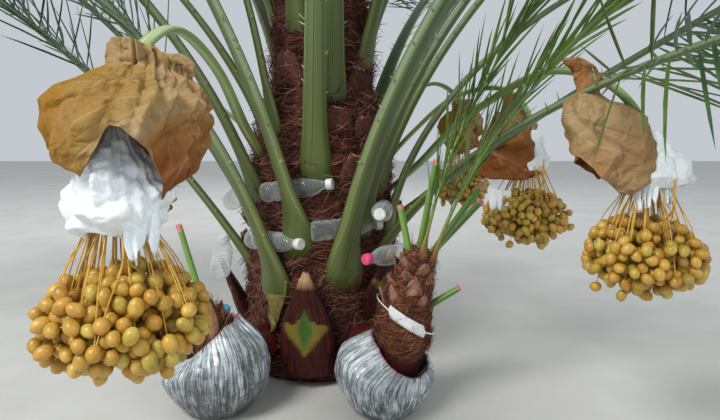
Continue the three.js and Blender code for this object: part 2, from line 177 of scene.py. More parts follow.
class Recipe:
    # One material under construction: its node tree, its shader's inputs, and short ways to add nodes

    def __init__(self, name, roughness=0.6, **sockets):
        self.material = bpy.data.materials.new(name)
        self.material.use_nodes = True
        self.tree = self.material.node_tree
        self.shader = self.tree.nodes["Principled BSDF"].inputs
        self.shader["Roughness"].default_value = roughness
        for socket, value in sockets.items():
            self.shader[socket.replace("_", " ")].default_value = value

    def add(self, kind, inputs, **settings):
        return addNode(self.tree, "ShaderNode" + kind, inputs, **settings)

    def feed(self, socket, source):
        self.tree.links.new(source, self.shader[socket])

    # Where the pattern is read: on the object itself or along its own UV map
    def place(self, scale=(1, 1, 1), uv=False):
        source = self.add("TexCoord", {}).outputs["UV" if uv else "Object"]
        return self.add("Mapping", {"Scale": scale, "Vector": source}).outputs["Vector"]

    def noise(self, size, scale=(1, 1, 1), uv=False, detail=4, rough=0.55, warp=0):
        inputs = {"Scale": size, "Detail": detail, "Roughness": rough, "Distortion": warp}
        return self.add("TexNoise", {**inputs, "Vector": self.place(scale, uv)}).outputs["Fac"]

    def ramp(self, source, stops, smooth=False):
        node = self.add("ValToRGB", {"Fac": source})
        if smooth:
            node.color_ramp.interpolation = "EASE"
        bar = node.color_ramp.elements
        while len(bar) < len(stops):
            bar.new(0.5)
        for element, (place, colour) in zip(bar, stops):
            element.position = place
            element.color = tone(colour) if isinstance(colour, str) else [colour] * 3 + [1]
        return node.outputs["Color"]

    def blend(self, share, first, second, mode="MIX"):
        first, second = [tone(c) if isinstance(c, str) else c for c in (first, second)]
        inputs = {mixSockets["share"]: share, mixSockets["first"]: first, mixSockets["second"]: second}
        return self.add("Mix", inputs, data_type="RGBA", blend_type=mode).outputs[mixSockets["result"]]

    # Lays a colour over another as a source runs through two stops
    def stain(self, under, colour, source, *stops, smooth=False):
        return self.blend(self.ramp(source, stops, smooth), under, colour)

    def value(self, name):
        return self.add("Attribute", {}, attribute_name=name).outputs["Fac"]

    def across(self, axis):
        return self.add("SeparateXYZ", {"Vector": self.place(uv=True)}).outputs[axis]

    def bump(self, source, depth, strength=1.0, **under):
        inputs = {"Strength": strength, "Distance": depth, "Height": source, **under}
        normal = self.add("Bump", inputs).outputs["Normal"]
        self.feed("Normal", normal)
        return normal

    def gloss(self, source, low, high):
        spread = self.add("MapRange", {"To Min": low, "To Max": high, "Value": source})
        self.feed("Roughness", spread.outputs["Result"])


# Stalk skin: a dark keel band painted as shade between paler edges painted as highlights, olive at its foot
# and sage further up, with streaks lengthwise
def stalkSkin(name, low, high, foot, footShare=0.012):
    made = Recipe(name, 0.38, Coat_Weight=0.12, Coat_Roughness=0.3)
    streak = made.noise(3, (26, 1.4, 1), uv=True, detail=5)
    # Painted light across the stalk: the darkest band along the middle is painted shade, the palest bands
    # along the edges are painted highlights
    places = [(0, 1), (0.17, 1), (0.235, 2), (0.31, 1), (0.5, 0), (0.69, 1), (0.765, 2), (0.83, 1), (1, 1)]
    litAndShadedBands = [made.ramp(made.across("X"), [(place, tones[rank]) for place, rank in places])
             for tones in (low, high)]
    climb = made.ramp(made.across("Y"), [(0.05, 0.0), (0.26, 1.0)], smooth=True)
    body = made.blend(climb, *litAndShadedBands)
    streaked = made.blend(made.ramp(streak, [(0.35, 0.5), (0.62, 0.0)]), body, low[0])
    aged = made.stain(streaked, foot, made.noise(9, detail=3), (0.56, 0.0), (0.76, 0.3))
    rise = [(0, 1.0), (footShare, 0.5), (footShare * 3, 0.0)]
    made.feed("Base Color", made.stain(aged, foot, made.across("Y"), *rise, smooth=True))
    made.gloss(streak, 0.3, 0.5)
    made.bump(streak, 0.0005, 0.4)
    return made.material


# Most skins: one noise through its stops of colour, and a bump by the same noise or by a finer one
def mottledSkin(name, roughness, stops, pattern, relief, fine=None, **sockets):
    made = Recipe(name, roughness, **sockets)
    cloud = made.noise(**pattern)
    made.feed("Base Color", made.ramp(cloud, stops))
    made.bump(made.noise(**fine) if fine else cloud, *relief)
    return made.material


# Leaflet skin: one plain tint for its spray, with a waxy bloom and a finer mottling
def leafSkin(name, deep, bright):
    return mottledSkin(name, 0.42, [(0.3, deep), (0.72, bright)], {"size": 7, "detail": 5, "rough": 0.65},
                       (0.0006, 0.4), {"size": 190, "detail": 2}, Coat_Weight=0.12, Coat_Roughness=0.35)


def strandSkin(name, dark, light):
    return mottledSkin(name, 0.6, [(0.35, dark), (0.68, light)], {"size": 40, "detail": 3},
                       (0.0003, 0.5), {"size": 600, "detail": 1})


def fruitSkin(name, shade, main, light):
    return mottledSkin(name, 0.38, [(0.28, shade), (0.5, main), (0.74, light)], {"size": 32, "rough": 0.6},
                       (0.0004, 0.35), {"size": 260, "detail": 2}, Coat_Weight=0.12, Coat_Roughness=0.3)


def plainSkin(name, dark, light, roughness, size=60, depth=0.0004, **sockets):
    return mottledSkin(name, roughness, [(0.3, dark), (0.7, light)], {"size": size}, (depth, 0.5), **sockets)


# Matted leaf-base fibre: two slanted weaves of threads over a dark ground, paler in worn patches
def barkSkin(name, ground, thread, pale, size):
    made = Recipe(name, 0.85, Specular_IOR_Level=0.3)
    first = made.noise(size, (1, 8, 1), uv=True, detail=7, rough=0.72, warp=0.5)
    second = made.noise(size * 1.4, (2.5, 5, 1), uv=True, detail=6, rough=0.7, warp=1.1)
    weave = made.blend(0.45, first, second)
    body = made.ramp(weave, [(0.38, ground), (0.5, thread), (0.62, pale)])
    made.feed("Base Color", made.stain(body, ground, made.noise(6), (0.42, 0.0), (0.66, 0.6)))
    made.bump(weave, 0.007)
    return made.material


def huskSkin():
    made = Recipe("leaf_base_husk", 0.5, Specular_IOR_Level=0.18)
    streak = made.noise(3.4, (18, 1.5, 1), uv=True, detail=6, rough=0.65, warp=0.4)
    husk = made.ramp(streak, [(0.28, "#200907"), (0.52, "#3c1611"), (0.82, "#6a3b30")])
    lobes = made.stain(husk, "#766a2a", made.value("olive"), (0.1, 0.0), (0.8, 0.95), smooth=True)
    green = made.stain(lobes, "#3d5f26", made.value("green"), (0.1, 0.0), (0.8, 1.0), smooth=True)
    made.feed("Base Color", made.stain(green, "#c8a07c", made.across("Y"), (0.84, 0.0), (0.95, 0.95)))
    made.bump(streak, 0.0025, 0.6)
    return made.material


# Kraft paper: its tint runs from ochre over pale tan to orange-brown, darker lower down and on the sides
# turned from the light as partly painted shade; creases show lighter as a painted highlight on the fold
# ridges, the fold valleys and the inside darker as painted shade
def paperSkin():
    made = Recipe("kraft_paper", 0.7, Specular_IOR_Level=0.25)
    tint = made.ramp(made.value("tint"), [(0.0, "#936912"), (0.25, "#9a7d42"), (0.45, "#a48d66"),
                                          (0.62, "#9a6f3f"), (0.8, "#915e30"), (1.0, "#844b1f")])
    body = made.stain(tint, "#84592a", made.noise(9, rough=0.6), (0.42, 0.0), (0.7, 0.3))
    # Painted highlight: the ridges of the folds are lightened
    ridgeLit = made.stain(body, "#cdb488", made.value("crease"), (0.0, 0.0), (1.0, 0.35))
    # Painted shade: the valleys of the folds are darkened
    folded = made.stain(ridgeLit, "#6b421b", made.value("valley"), (0.0, 0.0), (1.0, 0.6))
    # Painted shade: the inside of the cover is darkened
    sunk = made.stain(folded, "#764620", made.value("inner"), (0.1, 0.0), (0.9, 0.85))
    grain = made.noise(420, detail=3)
    made.feed("Base Color", made.stain(sunk, "#7d5227", grain, (0.3, 0.0), (0.8, 0.2)))
    fold = [(0.3, 1.0), (0.5, 0.0), (0.7, 1.0)]
    large, small = [made.ramp(made.noise(size, detail=1, warp=0.7), fold) for size in (17, 38)]
    broad = made.bump(large, 0.006, 0.8)
    made.bump(grain, 0.0004, 0.4, Normal=made.bump(small, 0.0022, 0.7, Normal=broad))
    return made.material


# Clear film: white and gathered towards its mouth, clearer lower down over the dark moss; its pale streaks
# are painted highlights along the crinkles, and its whiteness towards the mouth is partly the gathered film's
# own and partly painted highlight
def filmSkin():
    made = Recipe("clear_film", 0.12, Coat_Weight=0.7, Coat_Roughness=0.06, Specular_IOR_Level=0.7)
    along = made.noise(3, (26, 1.0, 1), uv=True, detail=6, rough=0.62, warp=0.5)
    streak = made.blend(0.3, along, made.noise(30, detail=5, rough=0.7, warp=1.2))
    # Painted highlight: pale streaks along the crinkles, also drawn more opaque where they are palest
    pale = made.ramp(streak, [(0.40, "#7f8d96"), (0.57, "#e6eef4")])
    made.feed("Base Color", made.stain(pale, "#c58f96", made.value("rim"), (0.2, 0.0), (1.0, 0.8)))
    veil = made.ramp(streak, [(0.42, 0.3), (0.5, 0.66), (0.58, 1.0)])
    patches = made.ramp(made.noise(11, detail=3), [(0.42, 0.55), (0.6, 1.0)])
    # Whiter and more opaque towards the mouth: partly the gathered film, partly painted highlight
    folded = made.stain(veil, "#ffffff", made.across("Y"), (0.35, 0.0), (0.85, 0.5))
    gathered = made.blend(1.0, folded, made.value("veil"), "MULTIPLY")
    made.feed("Alpha", made.blend(1.0, gathered, patches, "MULTIPLY"))
    made.bump(streak, 0.003, 0.7)
    return made.material


# Thin clear plastic: almost unseen where it faces the eye, whiter at its rounded sides
def clearSkin(name, colour, least, most):
    made = Recipe(name, 0.08, Coat_Weight=0.5, Coat_Roughness=0.04, Specular_IOR_Level=0.6)
    made.feed("Base Color", made.ramp(made.noise(16, detail=3), [(0.3, colour), (0.7, "#f3f7f8")]))
    facing = made.add("LayerWeight", {"Blend": 0.35}).outputs["Facing"]
    made.feed("Alpha", made.ramp(facing, [(0.1, least), (0.9, most)]))
    made.bump(made.noise(30, detail=2), 0.001, 0.4)
    return made.material


skins = {
    "stalk": stalkSkin("frond_stalk", ("#2f3b18", "#5b6830", "#7d8347"), ("#3b5030", "#667c50", "#99a785"),
                       "#55622b"),
    "deep": leafSkin("leaf_deep_green", "#233f25", "#517647"),
    "blue": leafSkin("leaf_blue_green", "#3a5a42", "#7f9d7e"),
    "olive": leafSkin("leaf_olive", "#38501c", "#6b883c"),
    "young": leafSkin("leaf_young_green", "#3a5d20", "#7da243"),
    "spine": strandSkin("stalk_spine", "#98a05c", "#dcdcae"),
    "bark": barkSkin("trunk_fibre_mat", "#1d0a08", "#552619", "#9a6450", 16),
    "darkFibre": strandSkin("fibre_dark", "#36130c", "#7b3c29"),
    "paleFibre": strandSkin("fibre_pale", "#734638", "#ae816c"),
    "stemMat": barkSkin("offshoot_fibre_mat", "#2c110a", "#6c3821", "#a87550", 20),
    "stemFibre": strandSkin("offshoot_fibre_dark", "#46200f", "#8a4a2a"),
    "stemPale": strandSkin("offshoot_fibre_pale", "#8f5d40", "#c9997a"),
    "husk": huskSkin(),
    "remnant": barkSkin("old_leaf_base", "#32150f", "#6b4031", "#94695a", 9),
    "flake": plainSkin("dry_leaf_base", "#63392a", "#aa7f66", 0.65, size=40, depth=0.002),
    "sheath": plainSkin("torn_sheath", "#4b3820", "#8f823c", 0.5, size=38, depth=0.002),
    "cutWood": plainSkin("cut_leaf_base", "#7d5445", "#b58b79", 0.75, size=140, depth=0.001),
    "peduncle": stalkSkin("fruit_stalk_skin", ("#4c5f28", "#93a356", "#c8cf8c"),
                          ("#5d7a3c", "#9db872", "#cfdaa4"), "#8a7a42"),
    "strand": strandSkin("fruit_strand", "#bd8a2c", "#e6bd58"),
    "dateGold": fruitSkin("date_golden", "#976e20", "#be9335", "#d3af58"),
    "dateGreen": fruitSkin("date_green_gold", "#8f7a28", "#b99d3e", "#d1ba60"),
    "dateOrange": fruitSkin("date_orange", "#996920", "#bc8a30", "#cfa54e"),
    "dateBrown": fruitSkin("date_brown_gold", "#856428", "#ad883e", "#c8a75b"),
    "cap": plainSkin("date_cap", "#8c8a3c", "#c7a94e", 0.6, size=120),
    "paper": paperSkin(),
    "fleece": mottledSkin("white_fleece", 0.9, [(0.3, "#d9e3ea"), (0.62, "#f4f8fa")],
                          {"size": 260, "scale": (1, 1, 0.35), "detail": 5, "rough": 0.75, "warp": 0.8},
                          (0.0009, 0.6), Sheen_Weight=0.3, Sheen_Roughness=0.5),
    "film": filmSkin(),
    "moss": mottledSkin("wet_moss", 0.6, [(0.3, "#0e0d0b"), (0.5, "#27221b"), (0.68, "#45423a"),
                                          (0.85, "#8b8a80")], {"size": 38, "detail": 6, "rough": 0.75},
                        (0.006, 0.9), {"size": 90}, Coat_Weight=0.2),
    "mouth": plainSkin("offshoot_foot", "#2e0c0d", "#63241e", 0.35, size=22, depth=0.002, Coat_Weight=0.3),
    "youngStalk": stalkSkin("offshoot_stalk", ("#41641c", "#74992f", "#a2bd5c"),
                            ("#4a7030", "#83a94f", "#b4cd86"), "#8a5a32", 0.05),
    "cutTip": plainSkin("cut_tip", "#b0504f", "#e2a39b", 0.6),
    "tag": plainSkin("blank_tag", "#dfe3e6", "#f6f8f9", 0.45),
    "bottle": clearSkin("bottle_clear", "#c3ced2", 0.15, 0.8),
    "pinkCap": plainSkin("cap_pink", "#e02a62", "#f5638f", 0.35),
    "blueCap": plainSkin("cap_blue", "#1283a8", "#3fb2cf", 0.35),
    "whiteCap": plainSkin("cap_white", "#cfd3cc", "#eef1ec", 0.4),
}
print("materials ready:", len(skins))


# Camera, floor and light

camera = {"lens": 28, "sensor": 36, "place": (.125, -1.85, .73), "down": 7.63}
lights = [  # place, aim, width, power, tint
    ((-2.8, -3.8, 4.8), (0, -.4, .8), 2.6, 300, (1, .985, .96)),
    ((3.8, -3.2, 3), (0, -.3, .7), 3, 70, (.93, .97, 1)),
    ((.5, 4.4, 5.2), (0, 0, 1.2), 4, 150, (.96, .98, 1)),
]
sky = {"tint": (.88, .94, 1, 1), "strength": .62}
floorReach = 14


def makeStage():
    scene = bpy.context.scene
    eye = bpy.data.cameras.new("camera")
    eye.lens, eye.sensor_width = camera["lens"], camera["sensor"]
    eye.clip_start = 0.02
    scene.camera = linked("camera", eye)
    scene.camera.location = camera["place"]
    scene.camera.rotation_euler = (math.radians(90 - camera["down"]), 0, 0)
    scene.view_settings.view_transform = "Standard"
    scene.world = bpy.data.worlds.new("studio")
    scene.world.use_nodes = True
    air = scene.world.node_tree.nodes["Background"].inputs
    air["Color"].default_value = sky["tint"]
    air["Strength"].default_value = sky["strength"]
    for number, (place, aim, width, power, tint) in enumerate(lights):
        lamp = bpy.data.lights.new(f"softbox_{number}", "AREA")
        lamp.shape, lamp.size, lamp.energy, lamp.color = "DISK", width, power, tint
        box = linked(lamp.name, lamp)
        box.location = place
        box.rotation_euler = (Vector(aim) - Vector(place)).to_track_quat("-Z", "Y").to_euler()
    ground = plainSkin("floor_pale", "#c4c3be", "#d0cfcb", 0.9, size=3)
    corners = [(x * floorReach, y * floorReach, 0) for x, y in ((-1, -1), (1, -1), (1, 1), (-1, 1))]
    meshObject("floor", (corners, [(0, 1, 2, 3)]), ground)


makeStage()
print("stage ready")


# Geometry node trees

class Grower:
    # One geometry node tree under construction: its named inputs, their keys, and short ways to add nodes

    def __init__(self, name, sockets):
        self.tree = bpy.data.node_groups.new(name, "GeometryNodeTree")
        self.keys = {}
        for label, (kind, value) in {"Geometry": ("Geometry", None), **sockets}.items():
            socket = self.tree.interface.new_socket(label, in_out="INPUT", socket_type=f"NodeSocket{kind}")
            if value is not None:
                socket.default_value = value
            self.keys[label] = socket.identifier
        self.tree.interface.new_socket("Geometry", in_out="OUTPUT", socket_type="NodeSocketGeometry")
        self.given = addNode(self.tree, "NodeGroupInput", {}).outputs

    # Adds a node and gives its first output
    def add(self, kind, inputs, **settings):
        return addNode(self.tree, kind, inputs, **settings).outputs[0]

    def read(self, name, kind="FLOAT"):
        return self.add("GeometryNodeInputNamedAttribute", {"Name": name}, data_type=kind)

    # A random number for each point; the node's second output is the one for numbers
    def drawn(self, low, high):
        return addNode(self.tree, "FunctionNodeRandomValue", {2: low, 3: high, "Seed": self.given["Seed"]},
                       data_type="FLOAT").outputs[1]

    # Puts shapes of the collection on the points
    def deal(self, points, **inputs):
        shapes = self.add("GeometryNodeCollectionInfo", {
            "Collection": self.given["Shapes"], "Separate Children": True, "Reset Children": True})
        return self.add("GeometryNodeInstanceOnPoints", {"Points": points, "Instance": shapes,
                                                         "Pick Instance": True, **inputs})

    def end(self, geometry):
        real = self.add("GeometryNodeRealizeInstances", {"Geometry": geometry})
        painted = self.add("GeometryNodeSetMaterial", {"Geometry": real, "Material": self.given["Material"]})
        addNode(self.tree, "NodeGroupOutput", {"Geometry": painted})
        return self


# Puts one shape of a collection on every point, by the point's own turn, size and kind
def dealTree():
    tree = Grower("deal_shapes", {
        "Shapes": ("Collection", None), "Size scatter": ("Float", 0.1), "Roll scatter": ("Float", 0.3),
        "Seed": ("Int", 1), "Material": ("Material", None)})
    scatter, roll = tree.given["Size scatter"], tree.given["Roll scatter"]
    negative = tree.add("ShaderNodeMath", {0: roll, 1: -1.0}, operation="MULTIPLY")
    rolled = tree.add("ShaderNodeCombineXYZ", {"X": tree.drawn(negative, roll)})
    euler = tree.add("ShaderNodeVectorMath", {0: tree.read("turn", "FLOAT_VECTOR"), 1: rolled},
                     operation="ADD")
    least = tree.add("ShaderNodeMath", {0: 1.0, 1: scatter}, operation="SUBTRACT")
    scale = tree.add("ShaderNodeVectorMath", {0: tree.read("size", "FLOAT_VECTOR"),
                                              "Scale": tree.drawn(least, 1.0)}, operation="SCALE")
    rotation = tree.add("FunctionNodeEulerToRotation", {"Euler": euler})
    return tree.end(tree.deal(tree.given["Geometry"], Rotation=rotation, Scale=scale,
                              **{"Instance Index": tree.read("kind", "INT")}))


# Lays loose fibres on a surface: level on it, slanted either way, lifted a little at their ends
def fibreTree():
    tree = Grower("lay_fibres", {
        "Shapes": ("Collection", None), "Density": ("Float", 900.0), "Seed": ("Int", 1),
        "Slant low": ("Float", 0.6), "Slant high": ("Float", 2.5), "Small": ("Float", 0.5),
        "Large": ("Float", 1.2), "Material": ("Material", None)})
    given = tree.given
    points = addNode(tree.tree, "GeometryNodeDistributePointsOnFaces", {
        "Mesh": given["Geometry"], "Density": given["Density"], "Seed": given["Seed"]}).outputs
    facing = tree.add("FunctionNodeAlignRotationToVector", {"Vector": points["Normal"]}, axis="Z")
    upright = tree.add("FunctionNodeAlignRotationToVector", {"Rotation": facing, "Vector": (0, 0, 1)},
                       axis="X", pivot_axis="Z")
    slant = tree.drawn(given["Slant low"], given["Slant high"])
    turn = tree.add("FunctionNodeAxisAngleToRotation", {"Axis": (0, 0, 1), "Angle": slant})
    laid = tree.add("FunctionNodeRotateRotation", {"Rotation": upright, "Rotate By": turn},
                    rotation_space="LOCAL")
    size = tree.drawn(given["Small"], given["Large"])
    return tree.end(tree.deal(points["Points"], Rotation=laid, Scale=size))


# Runs a round cord along every curve, as thick as the curve's own radius
def cordTree():
    tree = Grower("thicken_ways", {"Sides": ("Int", 5), "Material": ("Material", None)})
    ring = tree.add("GeometryNodeCurvePrimitiveCircle", {"Resolution": tree.given["Sides"], "Radius": 1.0})
    tube = tree.add("GeometryNodeCurveToMesh", {"Curve": tree.given["Geometry"], "Profile Curve": ring,
                                                "Scale": tree.read("radius"), "Fill Caps": True})
    return tree.end(tree.add("GeometryNodeSetShadeSmooth", {"Geometry": tube, "Shade Smooth": True}))


trees = {"deal": dealTree(), "fibre": fibreTree(), "cord": cordTree()}


# Runs a tree over a carrier and keeps the result as a plain mesh piece
def grown(name, carrier, kind, **inputs):
    modifier = carrier.modifiers.new(kind, "NODES")
    modifier.node_group = trees[kind].tree
    for label, value in inputs.items():
        modifier[trees[kind].keys[label.replace("_", " ")]] = value
    graph = bpy.context.evaluated_depsgraph_get()
    mesh = bpy.data.meshes.new_from_object(carrier.evaluated_get(graph), depsgraph=graph)
    carrier.modifiers.remove(modifier)
    for layer in ("turn", "size", "kind", "radius"):
        if layer in mesh.attributes:
            mesh.attributes.remove(mesh.attributes[layer])
    mesh.name = name
    print(f"  {name}: {sum(len(p.vertices) - 2 for p in mesh.polygons)} triangles")
    return linked(name, mesh)


def discard(thing):
    bpy.data.objects.remove(thing, do_unlink=True)


# A family of small shapes for the trees to pick from, in the order of their names
def family(name, shapes, sharp=None):
    group = bpy.data.collections.new(name)
    for number, shape in enumerate(shapes):
        thing = meshObject(f"{name}_{number}", shape)
        if sharp:
            for edge in thing.data.edges:
                edge.use_edge_sharp = sharp(*[thing.data.vertices[v].co for v in edge.vertices])
        bpy.context.scene.collection.objects.unlink(thing)
        group.objects.link(thing)
    return group


# Deals shapes to spots that each tell where, how turned, how large and which shape
def dealt(name, spots, shapes, material, sizeScatter=0.0, rollScatter=0.0, seed=3):
    places, turns, sizes, kinds = zip(*spots)
    mesh = bpy.data.meshes.new(name + "_spots")
    mesh.from_pydata(places, [], [])
    for key, numbers in (("turn", turns), ("size", sizes)):
        layer = mesh.attributes.new(key, "FLOAT_VECTOR", "POINT")
        layer.data.foreach_set("vector", np.array(numbers, np.float32).ravel())
    mesh.attributes.new("kind", "INT", "POINT").data.foreach_set("value", kinds)
    carrier = linked(name + "_spots", mesh)
    piece = grown(name, carrier, "deal", Shapes=shapes, Size_scatter=sizeScatter, Roll_scatter=rollScatter,
                  Seed=seed, Material=material)
    discard(carrier)
    return piece


# Ways with a thickness at each point, as one piece
def corded(name, ways, material, sides=5):
    curve = bpy.data.curves.new(name + "_ways", "CURVE")
    curve.dimensions = "3D"
    for way in ways:
        spline = curve.splines.new("POLY")
        spline.points.add(len(way) - 1)
        for target, (point, radius) in zip(spline.points, way):
            target.co = (*point, 1)
            target.radius = radius
    carrier = linked(name + "_ways", curve)
    piece = grown(name, carrier, "cord", Sides=sides, Material=material)
    discard(carrier)
    return piece


# Bottles, which the trunk's fibre gives way to

bottles = [  # neck end, foot end, cap colour
    ((.047, -.234, .59), (-.18, -.177, .556), "whiteCap"),
    ((-.042, -.277, .42), (-.222, -.134, .41), "whiteCap"),
    ((.19, -.173, .463), (-.025, -.251, .452), "whiteCap"),
    ((.178, -.345, .516), (.199, -.124, .502), "whiteCap"),
    ((.14, -.312, .384), (.284, -.14, .372), "pinkCap"),
    ((-.318, -.045, .392), (-.282, -.262, .335), "whiteCap"),
    ((-.266, .045, .548), (-.262, -.176, .532), "whiteCap"),
    ((-.265, -.285, .24), (-.3, -.25, .018), "blueCap"),
]
bottle = {
    "length": .223, "radius": .0305, "capRadius": .016, "capLength": .019, "clear": .002,
    "fibreClear": .012, "dent": .012,
    "profile": [(0, 0), (0, .022), (.004, .028), (.012, .03), (.03, .0305), (.034, .0285), (.04, .0285),
                (.044, .0305), (.054, .0305), (.058, .0287), (.064, .0287), (.068, .0305), (.078, .0305),
                (.082, .0287), (.088, .0287), (.092, .0305), (.102, .0305), (.106, .0287), (.112, .0287),
                (.116, .0305), (.128, .0305), (.14, .0295), (.156, .0265), (.172, .0215), (.184, .016),
                (.192, .0128), (.199, .0125), (.2, .015), (.2025, .015), (.203, .0125), (.206, .0125)],
}


# How far a place lies from the middle line of its nearest bottle
def bottleGap(spots):
    gaps = []
    for neck, foot, _ in bottles:
        start, end = np.array(foot), np.array(neck)
        line = end - start
        share = np.clip(((spots - start) @ line) / (line @ line), 0, 1)
        gaps.append(np.linalg.norm(spots - start - share[..., None] * line, axis=-1))
    return np.min(gaps, axis=0)


# Trunk

trunk = {
    "height": 1.64,
    "profile": [(0, .262), (.06, .258), (.15, .246), (.34, .232), (.64, .216), (.78, .19), (.89, .154),
                (1.24, .132), (1.5, .104), (1.64, .074)],  # height, radius
    "sides": 210, "rows": 290,
    "oldBases": 46, "oldBaseRise": .033, "oldBaseDepth": .014,
    "knots": .006, "weave": .0055,
}


def trunkRadius(height, angle):
    ridge = np.sin(5 * angle + height / 0.070) * np.sin(height / 0.048 + 2 * angle)
    return readMany(trunk["profile"], height) + 0.005 * ridge


# Shield-shaped swellings of old leaf bases, under each frond and up the golden spiral between them
def baseSwelling(height, angle, bases):
    swell = np.zeros_like(height)
    for at, top, wide, deep in bases:
        aside = np.abs(wrapped(angle - at)) * trunkRadius(height, angle) / wide
        down = (top - height) / (wide * 1.5)
        shield = np.clip(1 - aside ** 2 * (0.55 + 0.45 * np.clip(down, 0, 1)), 0, 1) ** 0.8
        rise = np.clip((down + 0.12) / 0.12, 0, 1) * np.clip(1.1 - down, 0, 1) ** 0.7
        swell = np.maximum(swell, deep * shield * rise)
    return swell


def placesRound(radius, angles, levels):
    return np.stack([radius * np.cos(angles), radius * np.sin(angles), levels], -1)


# Threads that cross both ways, over knots, at every place of the trunk's skin; they fade out at its seam
def trunkTangle(radius, levels, angles):
    tangle = np.zeros_like(radius)
    sides = trunk["sides"]
    for i, j in np.ndindex(len(radius), sides):
        r, z, a = radius[i, j], levels[i, j], angles[i, j]
        spot = Vector((r * math.cos(a), r * math.sin(a), z))
        knot = noise.noise(spot * 26) * trunk["knots"]
        slants = [rough(a * r * 40 + z * 60, z * 190, a * r * 9),
                  rough(a * r * 40 - z * 60, z * 190 + 31, a * r * 9)]
        seam = min(1.0, min(j, sides - j) / 8)
        tangle[i, j] = knot + max(slants) * trunk["weave"] * seam
    tangle[:, -1] = tangle[:, 0]
    return tangle


def makeTrunk(fronds):
    rows, sides, height = trunk["rows"], trunk["sides"], trunk["height"]
    bases = [(math.radians(f["at"]), f["height"] + 0.02, f["width"] * 0.75, 0.018) for f in fronds]
    for i in range(trunk["oldBases"]):
        top = 0.10 + trunk["oldBaseRise"] * i
        bases.append((goldenAngle * i + 0.9, top, 0.085 * (1 - 0.3 * top), trunk["oldBaseDepth"]))
    levels, angles = np.meshgrid(np.linspace(0, height, rows + 1), np.linspace(0, 2 * np.pi, sides + 1),
                                 indexing="ij")
    around = angles.copy()
    around[:, -1] = 0
    radius = trunkRadius(levels, around) + baseSwelling(levels, around, bases)
    fade = np.clip(levels / 0.03, 0, 1) * np.clip((height - levels) / 0.05, 0, 1)
    tangle = trunkTangle(radius, levels, around)
    radius = radius + tangle * fade - 0.006 * (1 - np.clip((height - levels) / 0.10, 0, 1))
    for _ in range(4):  # the skin gives way to the bottles
        sunk = bottle["radius"] + bottle["clear"] - bottleGap(placesRound(radius, angles, levels))
        radius -= np.clip(sunk, 0, None)
    points = placesRound(radius, angles, levels)[:, :-1].reshape(-1, 3)
    uv = np.stack([angles * 0.2, levels], -1)[:, :-1].reshape(-1, 2)
    return newPiece("trunk_bark", (points, ringFaces(rows + 1, sides), uv), "bark", "bark", "trunk")


# A slim three-sided fibre that bends as it goes
def fibreShape(length, radius, bend, lift, kink, seed):
    steps, sides = 5, 3
    chance = random.Random(seed)
    points = []
    for i in range(steps + 1):
        s = i / steps
        x = (s - 0.5) * length
        middle = Vector((x, bend * length * math.sin(math.pi * s) + kink * length * (chance.random() - 0.5),
                         0.0015 + lift * length * (2 * s - 1) ** 2))
        thick = radius * (1.0 - 0.7 * abs(2 * s - 1) ** 3)
        points += [middle + Vector((0, east * thick, north * thick)) for _, east, north in ringTurns(sides)]
    return points, ringFaces(steps + 1, sides)


fibreShapes = family("fibre", [
    fibreShape(0.12, 0.0016, 0.22, 0.05, 0.05, 1), fibreShape(0.10, 0.0013, -0.28, 0.08, 0.06, 2),
    fibreShape(0.15, 0.0020, 0.14, 0.04, 0.05, 3), fibreShape(0.08, 0.0014, 0.36, 0.12, 0.05, 4),
    fibreShape(0.13, 0.0012, -0.18, 0.16, 0.07, 5)])


# Nothing on the plant reaches into the ground
def keepAbove(piece, least=0.001):
    spots = np.zeros(len(piece.data.vertices) * 3)
    piece.data.vertices.foreach_get("co", spots)
    spots[2::3] = np.maximum(spots[2::3], least)
    piece.data.vertices.foreach_set("co", spots)
    piece.data.update()
    return piece


# A copy of the chosen faces of a piece
def partOf(piece, name, chosen):
    mesh = piece.data
    kept = [tuple(face.vertices) for face in mesh.polygons if chosen(face)]
    return meshObject(name, ([v.co for v in mesh.vertices], kept))


# Lays coats of fibre on a piece, clear of the bottles
def layFibres(body, prefix, slotName, coats, small, large):
    spots = np.zeros(len(body.data.polygons) * 3)
    body.data.polygons.foreach_get("center", spots)
    clear = bottleGap(spots.reshape(-1, 3)) > bottle["radius"] + bottle["fibreClear"]
    carrier = partOf(body, "fibre_carrier", lambda face: clear[face.index] and len(face.vertices) == 4)
    for number, (key, density, (low, high)) in enumerate(coats):
        piece = grown(f"{prefix}_{key}", carrier, "fibre", Shapes=fibreShapes, Density=density,
                      Seed=7 + number, Slant_low=low, Slant_high=high, Small=small, Large=large,
                      Material=skins[key])
        finished(keepAbove(piece), slotName)
    discard(carrier)


# Short remnants of old leaf bases, cut off above the fibre
remnants = {
    "seen": [(-123, .885, .1, .085, 6), (-61, .61, .084, .056, 9), (-73, .735, .092, .074, 6),
             (-42, .87, .08, .062, 7), (-140, .7, .082, .048, 10), (-48, .735, .066, .052, 9)],
    # at, height, width, length, lean
    "hidden": 20, "firstAt": 55, "seenFrom": (-165, -10), "depthShare": .22,
    "low": 14, "lowAt": 20, "lowSize": (.104, .12), "steps": 6,
    "taper": [(-.05, 1.15), (0, 1.1), (.35, 1.06), (.7, .92), (1, .66)],
}


def listRemnants():
    found = list(remnants["seen"])
    low, high = remnants["seenFrom"]
    for i in range(remnants["hidden"]):
        at = wrappedDegrees(remnants["firstAt"] + goldenDegrees * i)
        if not low < at < high:
            found.append((at, 0.40 + 0.052 * i, 0.084 - 0.001 * i, 0.066 - 0.001 * i, 9))
    for i in range(remnants["low"]):
        at = wrappedDegrees(remnants["lowAt"] + goldenDegrees * i)
        if not low - 12 < at < high + 16:
            found.append((at, 0.05 + 0.026 * i, *remnants["lowSize"], 13))
    return found


